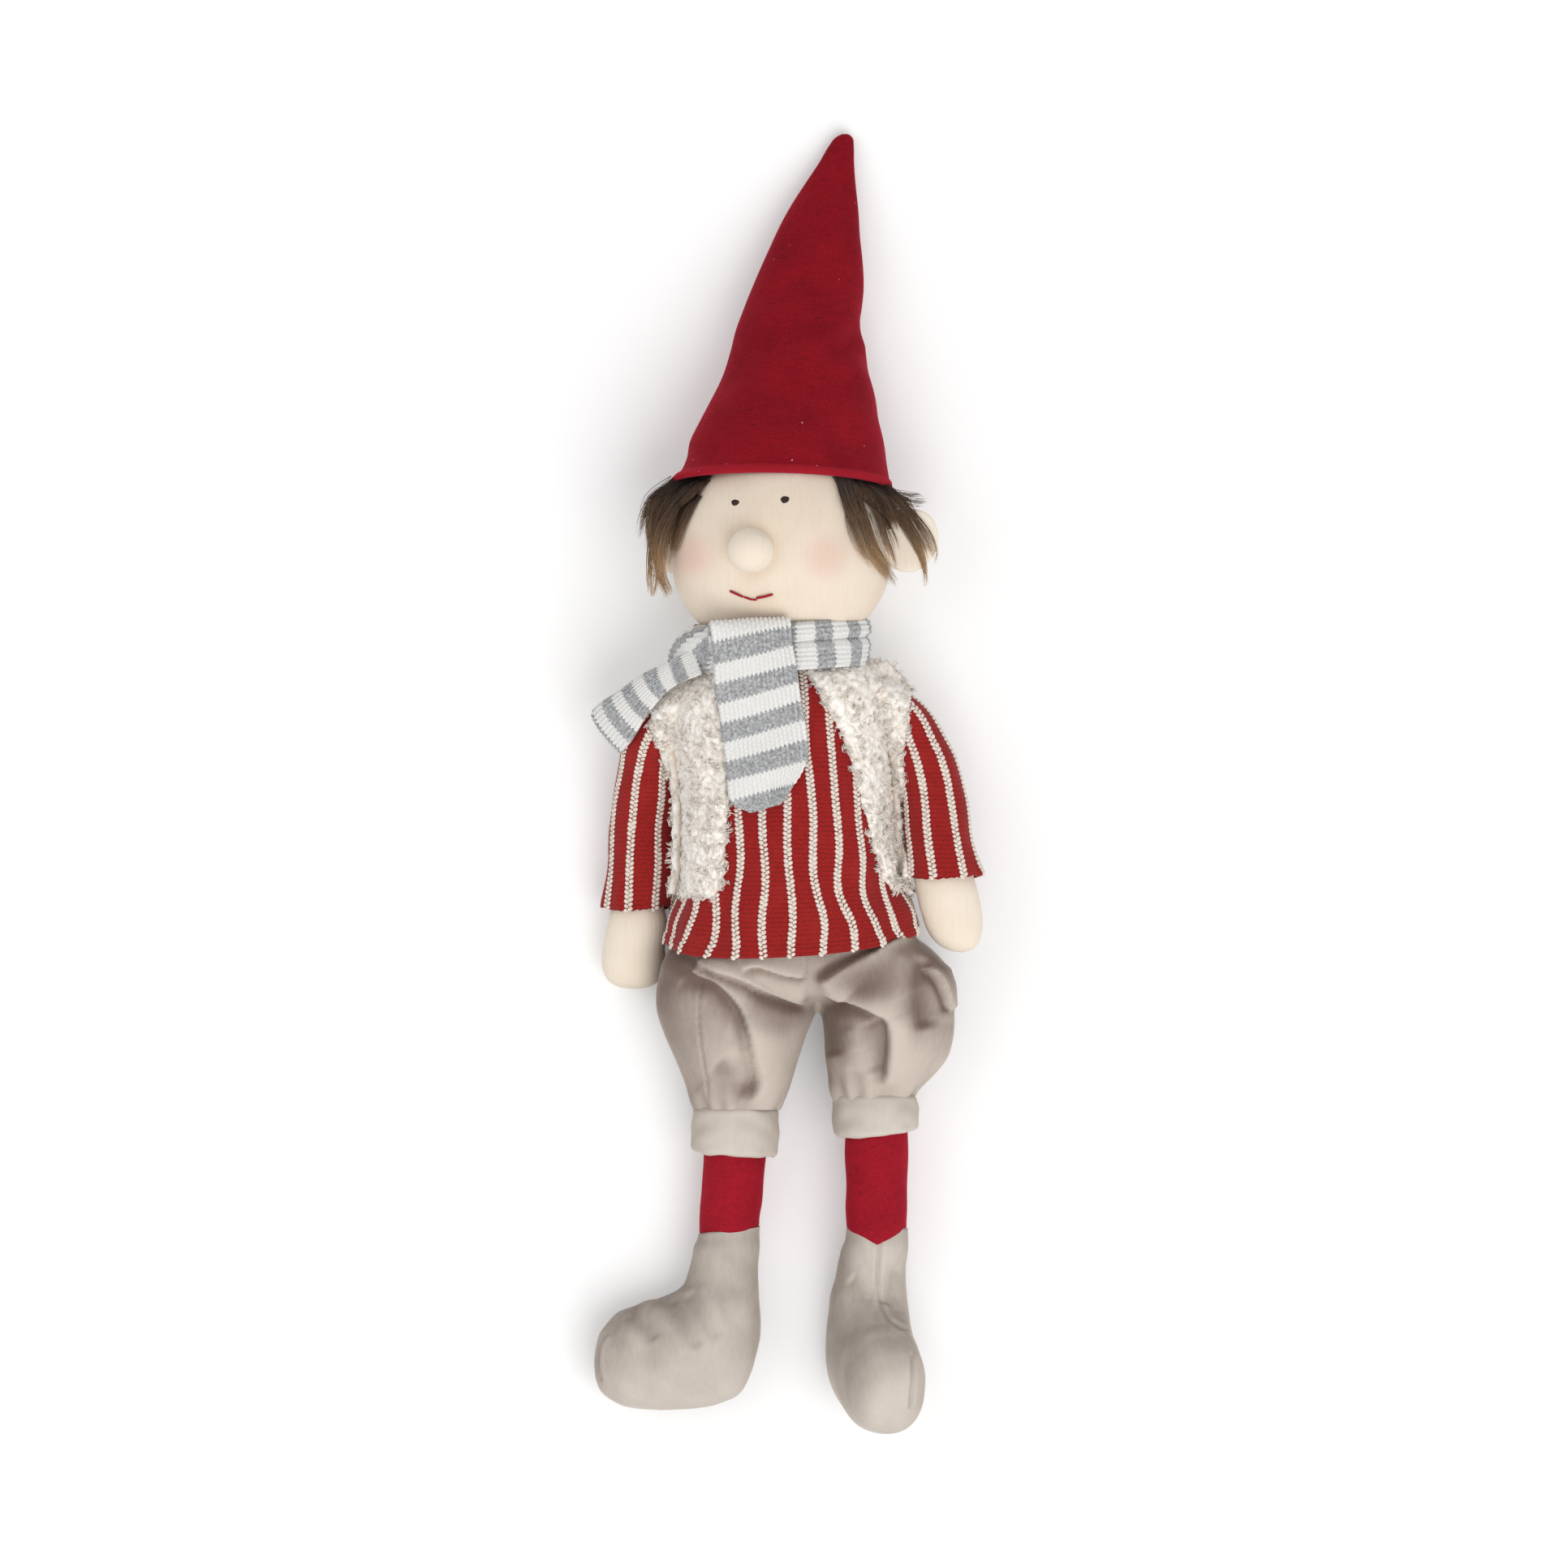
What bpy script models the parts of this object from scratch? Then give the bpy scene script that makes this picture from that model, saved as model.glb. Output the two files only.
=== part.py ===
"""A lying stuffed cloth elf doll, modelled in metres.

The doll lies on its back on the plane z = 0: +Y runs to the tip of its hat, +Z out of its face.
Left and right are the doll's own, so its right side is at -X.
"""

import math
from collections import namedtuple

import bmesh
import bpy
from mathutils import Matrix, Vector

# Cloths and clearances
GAP = 0.0003
HAIR_GAP = 0.0010
TRUNK_EASE = 0.0008
VEST_EASE = 0.0010
HAT_FELT = 0.0020
HAT_HEM = 0.0040
HAT_HEM_ROLL = 0.0009
SWEATER_KNIT = 0.0018
TROUSER_VELVET = 0.0014
VEST_PILE = 0.0045
SCARF_KNIT = 0.0040

# Head
HEAD_WIDTH = 0.0970
HEAD_DEPTH = 0.0840
CHIN_DROP = 0.0429
CROWN_RISE = 0.0560
HEAD_X = -0.0011
HEAD_Z = 0.0462
NOSE_WIDTH = 0.0210
NOSE_AT = (-0.0142, 0.0049)
NOSE_STANDS_OFF = 0.45
EYE_WIDTH = 0.0038
EYE_HEIGHT = 0.0031
EYE_DOME = 0.0007
EYE_DEPTH_SHARE = 0.3
EYE_LEFT_AT = (0.0015, 0.0273)
EYE_RIGHT_AT = (-0.0213, 0.0260)
MOUTH_THREAD = 0.0011
MOUTH_AT = ((-0.0237, -0.0142), (-0.0182, -0.0166), (-0.0120, -0.0181), (-0.0080, -0.0172),
            (-0.0045, -0.0157))
EAR_REACH = 0.0218
EAR_ROOT = 0.0044
EAR_HEIGHT = 0.0290
EAR_THICKNESS = 0.0070
EAR_RISE = 0.0095
EAR_LEFT_TURN = 6.0
EAR_RIGHT_TURN = -24.0

# Hair, a strip of long pile sewn under the brim from temple to temple round the back
HAIR_ROOT_RISE = 0.0365
HAIR_ROOT_PILE = 0.0030
HAIR_LEFT_SWELL = 0.0120
HAIR_RIGHT_SWELL = 0.0185
HAIR_BACK_SWELL = 0.0034
HAIR_DROP = 0.0520
HAIR_LOCK_DROP = 0.0060
HAIR_LOCKS = 9
HAIR_LOCK_SWELL = 0.10
HAIR_TIP_PILE = 0.0016
HAIR_SIDE_FULLNESS = 1.5
HAIR_UNDERSIDE_LOSS = 0.25
HAIR_EDGE_PILE = 0.35
HAIR_EDGE_RUN = 0.12
HAIR_RIGHT_EDGE_ROOT = math.radians(-222)
HAIR_RIGHT_EDGE_TIP = math.radians(-186)
HAIR_LEFT_EDGE_ROOT = math.radians(52)
HAIR_LEFT_EDGE_TIP = math.radians(14)
# From root to tip: share of the drop, how far the pile puffs out, how far it has thinned to the tips
HAIR_ROWS = ((0.0, 0.0, 0.0), (0.2, 0.60, 0.0), (0.4, 0.90, 0.0), (0.6, 1.0, 0.05), (0.8, 0.93, 0.26),
             (1.0, 0.93, 1.0))

# Hat
HAT_BRIM_WIDTH = 0.0994
HAT_BRIM_DEPTH = 0.0780
HAT_BRIM_RISE = 0.0344
HAT_BRIM_LEAN = 0.15
HAT_HEIGHT = 0.1626
HAT_TIP_WIDTH = 0.0074
HAT_TIP_SHIFT = 0.0293
HAT_TIP_CURVE = 1.15
HAT_TUCK = 0.0020
HAT_TUCK_AT = 0.42
HAT_TUCK_SPREAD = 0.10

# Scarf
SCARF_LOOP_WIDTH = 0.0828
SCARF_LOOP_DEPTH = 0.0800
SCARF_LOOP_HEIGHT = 0.0162
SCARF_LOOP_SAG = 0.0010
SCARF_LOOP_CREASE = 1.2
SCARF_LOOP_X = -0.0022
SCARF_LOOP_Z = 0.0430
SCARF_LOOP_SQUARENESS = 2.6
SCARF_STRIP_SQUARENESS = 3.5
SCARF_TAIL_WIDTH = 0.0366
SCARF_TAIL_BOW = 0.0026
SCARF_TAIL_ACROSS = (1.0, 0.08, 0.0)
SCARF_TAIL_RUN = ((-0.0165, 0.0660, 0.0815), (-0.0160, 0.0712, 0.0865), (-0.0140, 0.0600, 0.0905),
                  (-0.0125, 0.0450, 0.0882), (-0.0104, 0.0321, 0.0862), (-0.0078, 0.0134, 0.0846),
                  (-0.0048, -0.0071, 0.0836))
SCARF_SIDE_WIDTH = 0.0250
SCARF_SIDE_BOW = 0.0020
SCARF_SIDE_ACROSS = (0.50, -0.68, 0.54)
SCARF_SIDE_RUN = ((-0.0240, 0.0640, 0.0775), (-0.0365, 0.0605, 0.0745), (-0.0480, 0.0545, 0.0655),
                  (-0.0610, 0.0455, 0.0585), (-0.0730, 0.0350, 0.0510), (-0.0832, 0.0240, 0.0375))

# Body, sleeves, trousers and legs: (y, x, z, half width, half depth, lean) across the run
Section = namedtuple("Section", "y x z half_width half_depth lean")
NO_LEAN = (0.0, 0.0)
HEM_LEAN = (0.063, -0.27)
NECK_TOP = 0.0598
WAIST = -0.0460
HIP = -0.0900

# Legs, and the cuffs that gather the trousers over them
LEG_WIDTH = 0.0286
CUFF_RIGHT_LENGTH = 0.0206
CUFF_LEFT_LENGTH = 0.0175
CUFF_HALF_WIDTH = LEG_WIDTH / 2 + 0.0049
CUFF_HALF_DEPTH = LEG_WIDTH / 2 + 0.0028
CUFF_PROFILE = ((0.0, -0.0012), (0.12, 0.0), (0.5, 0.0006), (0.88, 0.0), (1.0, -0.0012))

BODY = (
    Section(NECK_TOP, -0.0005, 0.0420, 0.0270, 0.0195, NO_LEAN),
    Section(0.0570, -0.0007, 0.0415, 0.0330, 0.0240, NO_LEAN),
    Section(0.0510, -0.0012, 0.0412, 0.0410, 0.0315, NO_LEAN),
    Section(0.0420, -0.0018, 0.0408, 0.0460, 0.0365, NO_LEAN),
    Section(0.0280, -0.0020, 0.0405, 0.0474, 0.0378, NO_LEAN),
    Section(0.0000, 0.0008, 0.0405, 0.0469, 0.0380, NO_LEAN),
    Section(-0.0300, 0.0020, 0.0405, 0.0477, 0.0380, NO_LEAN),
    Section(WAIST, 0.0026, 0.0405, 0.0492, 0.0380, (0.02, -0.08)),
    Section(-0.0600, 0.0042, 0.0408, 0.0556, 0.0382, (0.045, -0.19)),
    Section(-0.0690, 0.0040, 0.0410, 0.0572, 0.0378, HEM_LEAN),
)
PELVIS = (
    Section(-0.0540, 0.0036, 0.0405, 0.0435, 0.0290, NO_LEAN),
    Section(-0.0700, 0.0046, 0.0385, 0.0430, 0.0290, NO_LEAN),
    Section(-0.0830, 0.0060, 0.0370, 0.0420, 0.0265, NO_LEAN),
    Section(HIP, 0.0060, 0.0360, 0.0350, 0.0200, NO_LEAN),
)
SLEEVE_RIGHT = (
    Section(0.0440, -0.0400, 0.0410, 0.0100, 0.0120, NO_LEAN),
    Section(0.0320, -0.0530, 0.0380, 0.0120, 0.0140, NO_LEAN),
    Section(0.0190, -0.0602, 0.0320, 0.0129, 0.0146, NO_LEAN),
    Section(0.0060, -0.0634, 0.0258, 0.0138, 0.0148, NO_LEAN),
    Section(-0.0145, -0.0649, 0.0190, 0.0149, 0.0148, NO_LEAN),
    Section(-0.0369, -0.0658, 0.0160, 0.0155, 0.0146, NO_LEAN),
    Section(-0.0572, -0.0675, 0.0150, 0.0148, 0.0136, NO_LEAN),
)
SLEEVE_LEFT = (
    Section(0.0460, 0.0400, 0.0420, 0.0100, 0.0120, NO_LEAN),
    Section(0.0360, 0.0525, 0.0420, 0.0124, 0.0140, NO_LEAN),
    Section(0.0190, 0.0615, 0.0420, 0.0135, 0.0148, NO_LEAN),
    Section(-0.0034, 0.0684, 0.0430, 0.0146, 0.0146, NO_LEAN),
    Section(-0.0257, 0.0715, 0.0450, 0.0155, 0.0140, NO_LEAN),
    Section(-0.0425, 0.0733, 0.0462, 0.0167, 0.0132, NO_LEAN),
)
HAND_RIGHT = (
    Section(-0.0640, -0.0676, 0.0142, 0.0132, 0.0120, NO_LEAN),
    Section(-0.0705, -0.0681, 0.0138, 0.0134, 0.0122, NO_LEAN),
    Section(-0.0817, -0.0701, 0.0132, 0.0136, 0.0118, NO_LEAN),
    Section(-0.0891, -0.0698, 0.0128, 0.0101, 0.0090, NO_LEAN),
    Section(-0.0936, -0.0694, 0.0126, 0.0030, 0.0030, NO_LEAN),
)
HAND_LEFT = (
    Section(-0.0520, 0.0750, 0.0467, 0.0142, 0.0116, NO_LEAN),
    Section(-0.0593, 0.0763, 0.0470, 0.0136, 0.0112, NO_LEAN),
    Section(-0.0705, 0.0787, 0.0472, 0.0108, 0.0094, NO_LEAN),
    Section(-0.0745, 0.0807, 0.0472, 0.0072, 0.0064, NO_LEAN),
    Section(-0.0768, 0.0822, 0.0472, 0.0024, 0.0024, NO_LEAN),
)
TROUSER_SEAT = (
    Section(-0.0560, 0.0038, 0.0412, 0.0480, 0.0315, NO_LEAN),
    Section(-0.0660, 0.0046, 0.0402, 0.0525, 0.0330, NO_LEAN),
    Section(-0.0760, 0.0078, 0.0365, 0.0598, 0.0362, NO_LEAN),
    Section(-0.0860, 0.0110, 0.0335, 0.0674, 0.0350, NO_LEAN),
    Section(-0.0940, 0.0108, 0.0315, 0.0640, 0.0300, NO_LEAN),
    Section(-0.0992, 0.0125, 0.0290, 0.0360, 0.0190, NO_LEAN),
)
TROUSER_LEG_RIGHT = (
    Section(-0.0780, -0.0215, 0.0345, 0.0310, 0.0330, NO_LEAN),
    Section(-0.0900, -0.0224, 0.0328, 0.0352, 0.0325, NO_LEAN),
    Section(-0.1040, -0.0222, 0.0300, 0.0371, 0.0306, NO_LEAN),
    Section(-0.1153, -0.0229, 0.0282, 0.0322, 0.0288, NO_LEAN),
    Section(-0.1264, -0.0220, 0.0274, 0.0274, 0.0264, NO_LEAN),
    Section(-0.1376, -0.0213, 0.0266, 0.0240, 0.0218, NO_LEAN),
    Section(-0.1496, -0.0222, 0.0258, CUFF_HALF_WIDTH + 0.0012, CUFF_HALF_DEPTH + 0.0005, NO_LEAN),
)
TROUSER_LEG_LEFT = (
    Section(-0.0780, 0.0430, 0.0345, 0.0290, 0.0330, NO_LEAN),
    Section(-0.0900, 0.0476, 0.0328, 0.0320, 0.0325, NO_LEAN),
    Section(-0.1040, 0.0479, 0.0300, 0.0308, 0.0306, NO_LEAN),
    Section(-0.1153, 0.0483, 0.0288, 0.0295, 0.0286, NO_LEAN),
    Section(-0.1264, 0.0470, 0.0284, 0.0276, 0.0262, NO_LEAN),
    Section(-0.1360, 0.0440, 0.0280, 0.0230, 0.0212, NO_LEAN),
    Section(-0.1429, 0.0418, 0.0280, CUFF_HALF_WIDTH - 0.0002, CUFF_HALF_DEPTH + 0.0001, NO_LEAN),
)
LEG_RIGHT_RUN = ((-0.0180, HIP - GAP, 0.0350), (-0.0210, -0.1250, 0.0290), (-0.0226, -0.1500, 0.0258),
                 (-0.0228, -0.1710, 0.0235), (-0.0242, -0.1900, 0.0212), (-0.0250, -0.2038, 0.0200))
LEG_LEFT_RUN = ((0.0365, HIP - GAP, 0.0350), (0.0425, -0.1250, 0.0290), (0.0418, -0.1430, 0.0280),
                (0.0426, -0.1620, 0.0280), (0.0426, -0.1850, 0.0280), (0.0426, -0.2038, 0.0278))

# Folds of the trousers: how far the velvet stands out and sinks in, and how many gathers meet a cuff
GATHER_DEPTH = 0.0013
GATHERS = 9
DRAPE_DEPTH = 0.0016
DRAPES = 3
DRAPE_TWIST = 4.0

# Front edges of the vest, x at each height y, and its hem
VEST_TOP = 0.0565
VEST_HEM = -0.0485
VEST_EDGE_RIGHT = ((0.0565, -0.0300), (0.0320, -0.0283), (0.0116, -0.0246), (-0.0127, -0.0272),
                   (-0.0520, -0.0291))
VEST_EDGE_LEFT = ((0.0565, 0.0080), (0.0358, 0.0201), (0.0116, 0.0313), (-0.0127, 0.0380),
                  (-0.0388, 0.0444), (-0.0520, 0.0500))

# Boots: (front, back) outline pairs as (towards the toe, down the leg), and half the thickness there
BOOT_LOOPS = (
    ((0.0190, 0.0215), (-0.0134, 0.0225), 0.0160),
    ((0.0228, 0.0282), (-0.0132, 0.0520), 0.0182),
    ((0.0314, 0.0327), (-0.0030, 0.0775), 0.0194),
    ((0.0407, 0.0353), (0.0330, 0.0842), 0.0194),
    ((0.0519, 0.0402), (0.0500, 0.0815), 0.0172),
    ((0.0586, 0.0495), (0.0586, 0.0765), 0.0118),
    ((0.0622, 0.0590), (0.0622, 0.0695), 0.0050),
)
BOOT_RIGHT_TOE = (-1.0, 0.0, 0.0)
BOOT_LEFT_TOE = (0.25, -0.43, 0.87)

# How far a cutting form runs past the opening that it makes
WELL_PAST = 0.0120

# How finely round forms are cut
BODY_SIDES = 32
LIMB_SIDES = 20
SCARF_SIDES = 12
THREAD_SIDES = 8
HEAD_RINGS = 14
BALL_RINGS = 10
BALL_SIDES = 16
EAR_RINGS = 8
EAR_SIDES = 18
HAT_ROWS = 7
HAIR_COLUMNS = 40
VEST_COLUMNS = 30
VEST_ROW_SPACING = 0.020
MOUTH_CUTS = 3
SCARF_CUTS = 2
BODY_SQUARENESS = 2.25
SHARP_FROM = math.radians(50)

CLOTHS = {
    "jersey": ((0.83, 0.72, 0.60), 0.85),
    "felt": ((0.30, 0.020, 0.035), 0.90),
    "fur": ((0.16, 0.085, 0.040), 0.75),
    "rib_knit": ((0.62, 0.60, 0.58), 0.92),
    "fleece": ((0.68, 0.62, 0.54), 0.95),
    "striped_knit": ((0.38, 0.030, 0.030), 0.90),
    "velvet": ((0.36, 0.31, 0.27), 0.80),
    "boot_velvet": ((0.50, 0.44, 0.38), 0.80),
    "stocking_felt": ((0.34, 0.020, 0.035), 0.90),
    "eye_paint": ((0.030, 0.022, 0.018), 0.55),
    "mouth_thread": ((0.42, 0.030, 0.030), 0.70),
}


def clear_scene():
    for old in list(bpy.data.objects):
        bpy.data.objects.remove(old, do_unlink=True)


def cloth_material(name):
    found = bpy.data.materials.get(name)
    if found:
        return found
    colour, roughness = CLOTHS[name]
    cloth = bpy.data.materials.new(name)
    cloth.use_nodes = True
    shader = cloth.node_tree.nodes["Principled BSDF"]
    shader.inputs["Base Color"].default_value = (*colour, 1.0)
    shader.inputs["Roughness"].default_value = roughness
    shader.inputs["Metallic"].default_value = 0.0
    return cloth


def add_piece(name, shape, cloth, doll):
    """Turn a bmesh into a named object under the doll's empty."""
    mesh = bpy.data.meshes.new(name)
    shape.to_mesh(mesh)
    shape.free()
    piece = bpy.data.objects.new(name, mesh)
    bpy.context.scene.collection.objects.link(piece)
    piece.parent = doll
    mesh.shade_smooth()
    mesh.set_sharp_from_angle(angle=SHARP_FROM)
    mesh.materials.append(cloth_material(cloth))
    return piece


def add_cutter(name, shape, doll):
    """A form that only shapes others, left out of the doll."""
    cutter = add_piece(name, shape, "jersey", doll)
    cutter.hide_render = True
    cutter.display_type = 'WIRE'
    return cutter


def combine(piece, other, operation):
    step = piece.modifiers.new(operation.lower() + "_" + other.name, 'BOOLEAN')
    step.operation = operation
    step.object = other
    step.solver = 'EXACT'


def round_point(angle, squareness):
    """A point of a unit circle, or of a squarer round when squareness is over 2."""
    bend = 2.0 / squareness
    c, s = math.cos(angle), math.sin(angle)
    return math.copysign(abs(c) ** bend, c), math.copysign(abs(s) ** bend, s)


def ring(section, sides, grow=0.0, floor=0.0, squareness=2.0, folds=None):
    """Points of one cross-section, kept at or above the floor height."""
    points = []
    for step in range(sides):
        angle = 2.0 * math.pi * step / sides
        c, s = round_point(angle, squareness)
        out = grow + (folds(angle, section.y) if folds else 0.0)
        across = (section.half_width + out) * c
        up = max((section.half_depth + out) * s, floor - section.z)
        y = section.y + section.lean[0] * across + section.lean[1] * up
        points.append(Vector((section.x + across, y, section.z + up)))
    return points


def add_loft(shape, rings, close_start=True, close_end=True, loop=False):
    """Skin a row of rings with faces; the ends are filled or the row closes on itself."""
    rows = [[shape.verts.new(point) for point in points] for points in rings]
    pairs = list(zip(rows, rows[1:]))
    if loop:
        pairs.append((rows[-1], rows[0]))
    for here, there in pairs:
        for step, corner in enumerate(here):
            after = (step + 1) % len(here)
            shape.faces.new((corner, here[after], there[after], there[step]))
    if close_start and not loop:
        shape.faces.new(list(reversed(rows[0])))
    if close_end and not loop:
        shape.faces.new(rows[-1])
    return rows


def solid_loft(rings, loop=False):
    shape = bmesh.new()
    add_loft(shape, rings, loop=loop)
    bmesh.ops.recalc_face_normals(shape, faces=shape.faces)
    return shape


def blend(low, high, share):
    return low + (high - low) * share


def kept_within(value, low, high):
    return min(max(value, low), high)


def blend_sections(first, second, share):
    values = [blend(a, b, share) for a, b in zip(first[:5], second[:5])]
    lean = tuple(blend(a, b, share) for a, b in zip(first.lean, second.lean))
    return Section(*values, lean)


def curve_between(before, here, there, after, share):
    """A Catmull-Rom value between two neighbours."""
    slope_here = (there - before) / 2.0
    slope_there = (after - here) / 2.0
    square, cube = share ** 2, share ** 3
    return ((2 * cube - 3 * square + 1) * here + (cube - 2 * square + share) * slope_here
            + (3 * square - 2 * cube) * there + (cube - square) * slope_there)


def smooth_run(points, cuts):
    """A smooth run of points through the given ones."""
    last = len(points) - 1
    run = []
    for index in range(last):
        before, after = points[max(index - 1, 0)], points[min(index + 2, last)]
        here, there = points[index], points[index + 1]
        for cut in range(cuts):
            share = cut / cuts
            run.append(Vector([curve_between(a, b, c, d, share)
                               for a, b, c, d in zip(before, here, there, after)]))
    return run + [Vector(points[-1])]


def tube_rings(points, half_width, sides):
    """Round rings across a run of points."""
    rings = []
    for index, point in enumerate(points):
        ahead = points[min(index + 1, len(points) - 1)]
        behind = points[max(index - 1, 0)]
        along = (Vector(ahead) - Vector(behind)).normalized()
        side = Vector((1.0, 0.0, 0.0))
        side = (side - along * side.dot(along)).normalized()
        up = side.cross(along)
        rings.append([Vector(point) + side * half_width * math.cos(2 * math.pi * step / sides)
                      + up * half_width * math.sin(2 * math.pi * step / sides)
                      for step in range(sides)])
    return rings


def shifted(section, distance):
    return section._replace(y=section.y + distance)


def opened(sections, distance):
    """The same run, lengthened past both ends so that it cuts them open."""
    run = list(sections)
    if run[0].y < run[-1].y:
        distance = -distance
    return [shifted(run[0], distance)] + run + [shifted(run[-1], -distance)]


# Head and face

HEAD_CENTRE = Vector((HEAD_X, NECK_TOP + GAP + CHIN_DROP, HEAD_Z))


def head_share(y):
    """How much of the head's full width is left at the height y."""
    away = y - HEAD_CENTRE.y
    reach = CROWN_RISE if away > 0 else CHIN_DROP
    return math.sqrt(max(1.0 - (away / reach) ** 2, 0.0))


def head_height(dx, dy, grow=0.0):
    """z of the face above the point that lies dx, dy from the head's centre."""
    share = head_share(HEAD_CENTRE.y + dy)
    left = max(1.0 - (dx / (HEAD_WIDTH / 2 * share)) ** 2, 0.0)
    return HEAD_Z + HEAD_DEPTH / 2 * share * math.sqrt(left) + grow


def head_solid(grow=0.0):
    rings = []
    for index in range(1, HEAD_RINGS):
        turn = -math.pi / 2 + math.pi * index / HEAD_RINGS
        rise = CROWN_RISE if turn > 0 else CHIN_DROP
        section = Section(HEAD_CENTRE.y + (rise + grow) * math.sin(turn), HEAD_X, HEAD_Z,
                          (HEAD_WIDTH / 2 + grow) * math.cos(turn),
                          (HEAD_DEPTH / 2 + grow) * math.cos(turn), NO_LEAN)
        rings.append(ring(section, LIMB_SIDES))
    shape = bmesh.new()
    rows = add_loft(shape, rings, close_start=False, close_end=False)
    chin = shape.verts.new((HEAD_X, HEAD_CENTRE.y - CHIN_DROP - grow, HEAD_Z))
    crown = shape.verts.new((HEAD_X, HEAD_CENTRE.y + CROWN_RISE + grow, HEAD_Z))
    for pole, row in ((chin, rows[0]), (crown, rows[-1])):
        for step, corner in enumerate(row):
            shape.faces.new((pole, corner, row[(step + 1) % len(row)]))
    bmesh.ops.recalc_face_normals(shape, faces=shape.faces)
    return shape


def ball(centre, radii, rings=BALL_RINGS, sides=BALL_SIDES):
    shape = bmesh.new()
    bmesh.ops.create_uvsphere(shape, u_segments=sides, v_segments=rings, radius=1.0)
    bmesh.ops.scale(shape, vec=radii, verts=shape.verts)
    bmesh.ops.translate(shape, vec=centre, verts=shape.verts)
    return shape


def on_face(at, lift):
    dx, dy = at
    return Vector((HEAD_X + dx, HEAD_CENTRE.y + dy, head_height(dx, dy, lift)))


def add_head(doll):
    add_piece("head", head_solid(), "jersey", doll)
    return add_cutter("head_clearance", head_solid(GAP), doll)


def add_nose(doll, head_clearance):
    radius = NOSE_WIDTH / 2
    middle = on_face(NOSE_AT, radius * NOSE_STANDS_OFF)
    nose = add_piece("nose", ball(middle, (radius,) * 3), "jersey", doll)
    combine(nose, head_clearance, 'DIFFERENCE')


def add_eye(name, at, doll, head_clearance):
    depth = EYE_WIDTH * EYE_DEPTH_SHARE
    middle = on_face(at, EYE_DOME - depth)
    eye = add_piece(name, ball(middle, (EYE_WIDTH / 2, EYE_HEIGHT / 2, depth + GAP)), "eye_paint", doll)
    combine(eye, head_clearance, 'DIFFERENCE')


def add_mouth(doll):
    """One thread, laid in short stitches along the mouth."""
    lift = MOUTH_THREAD / 2 + 2 * GAP
    run = smooth_run([on_face(at, lift) for at in MOUTH_AT], MOUTH_CUTS)
    rings = tube_rings(run, MOUTH_THREAD / 2, THREAD_SIDES)
    add_piece("mouth", solid_loft(rings), "mouth_thread", doll)


def ear_solid(side, turn, grow=0.0):
    """A flat rounded ear, turned forward with the head; its root is cut to the head."""
    length = EAR_REACH + EAR_ROOT
    middle = Vector((side * (HEAD_WIDTH / 2 + EAR_REACH - length / 2), EAR_RISE, 0.0))
    radii = (length / 2 + grow, EAR_HEIGHT / 2 + grow, EAR_THICKNESS / 2 + grow)
    ear = ball(middle, radii, EAR_RINGS, EAR_SIDES)
    bmesh.ops.rotate(ear, cent=(0, 0, 0), verts=ear.verts,
                     matrix=Matrix.Rotation(math.radians(-side * turn), 3, 'Y'))
    bmesh.ops.translate(ear, vec=HEAD_CENTRE, verts=ear.verts)
    return ear


def add_ear(name, side, turn, doll, head_clearance):
    ear = add_piece(name, ear_solid(side, turn), "jersey", doll)
    combine(ear, head_clearance, 'DIFFERENCE')
    return add_cutter(name + "_clearance", ear_solid(side, turn, GAP), doll)


# Hair

def hair_swell(angle):
    """How far the pile stands off the head: full at the two sides, thin at the back."""
    c, s = math.cos(angle), math.sin(angle)
    side = HAIR_LEFT_SWELL if c > 0 else HAIR_RIGHT_SWELL
    loss = HAIR_UNDERSIDE_LOSS * max(-s, 0.0)
    fullness = abs(c) ** HAIR_SIDE_FULLNESS * (1.0 - loss)
    return blend(HAIR_BACK_SWELL, side, fullness)


def hair_point(column, row, outside):
    down, puff, thinned = row
    share = column / (HAIR_COLUMNS - 1)
    inwards = min(min(share, 1.0 - share) / HAIR_EDGE_RUN, 1.0)
    start = blend(HAIR_RIGHT_EDGE_ROOT, HAIR_RIGHT_EDGE_TIP, down)
    stop = blend(HAIR_LEFT_EDGE_ROOT, HAIR_LEFT_EDGE_TIP, down)
    angle = blend(start, stop, share)
    lock = math.cos(2 * math.pi * HAIR_LOCKS * share)
    drop = HAIR_DROP + HAIR_LOCK_DROP * (lock + inwards - 1.0)
    y = HEAD_CENTRE.y + HAIR_ROOT_RISE - drop * down
    share_left = head_share(y)
    across = HEAD_WIDTH / 2 * share_left + HAIR_GAP
    up = HEAD_DEPTH / 2 * share_left + HAIR_GAP
    if outside:
        full = hair_swell(angle) * (1.0 + HAIR_LOCK_SWELL * lock)
        pile = blend(blend(HAIR_ROOT_PILE, full, puff), HAIR_TIP_PILE, thinned)
        pile *= blend(HAIR_EDGE_PILE, 1.0, inwards)
        across += pile
        up += pile
    z = max(HEAD_Z + up * math.sin(angle), 0.0)
    return Vector((HEAD_X + across * math.cos(angle), y, z))


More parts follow.
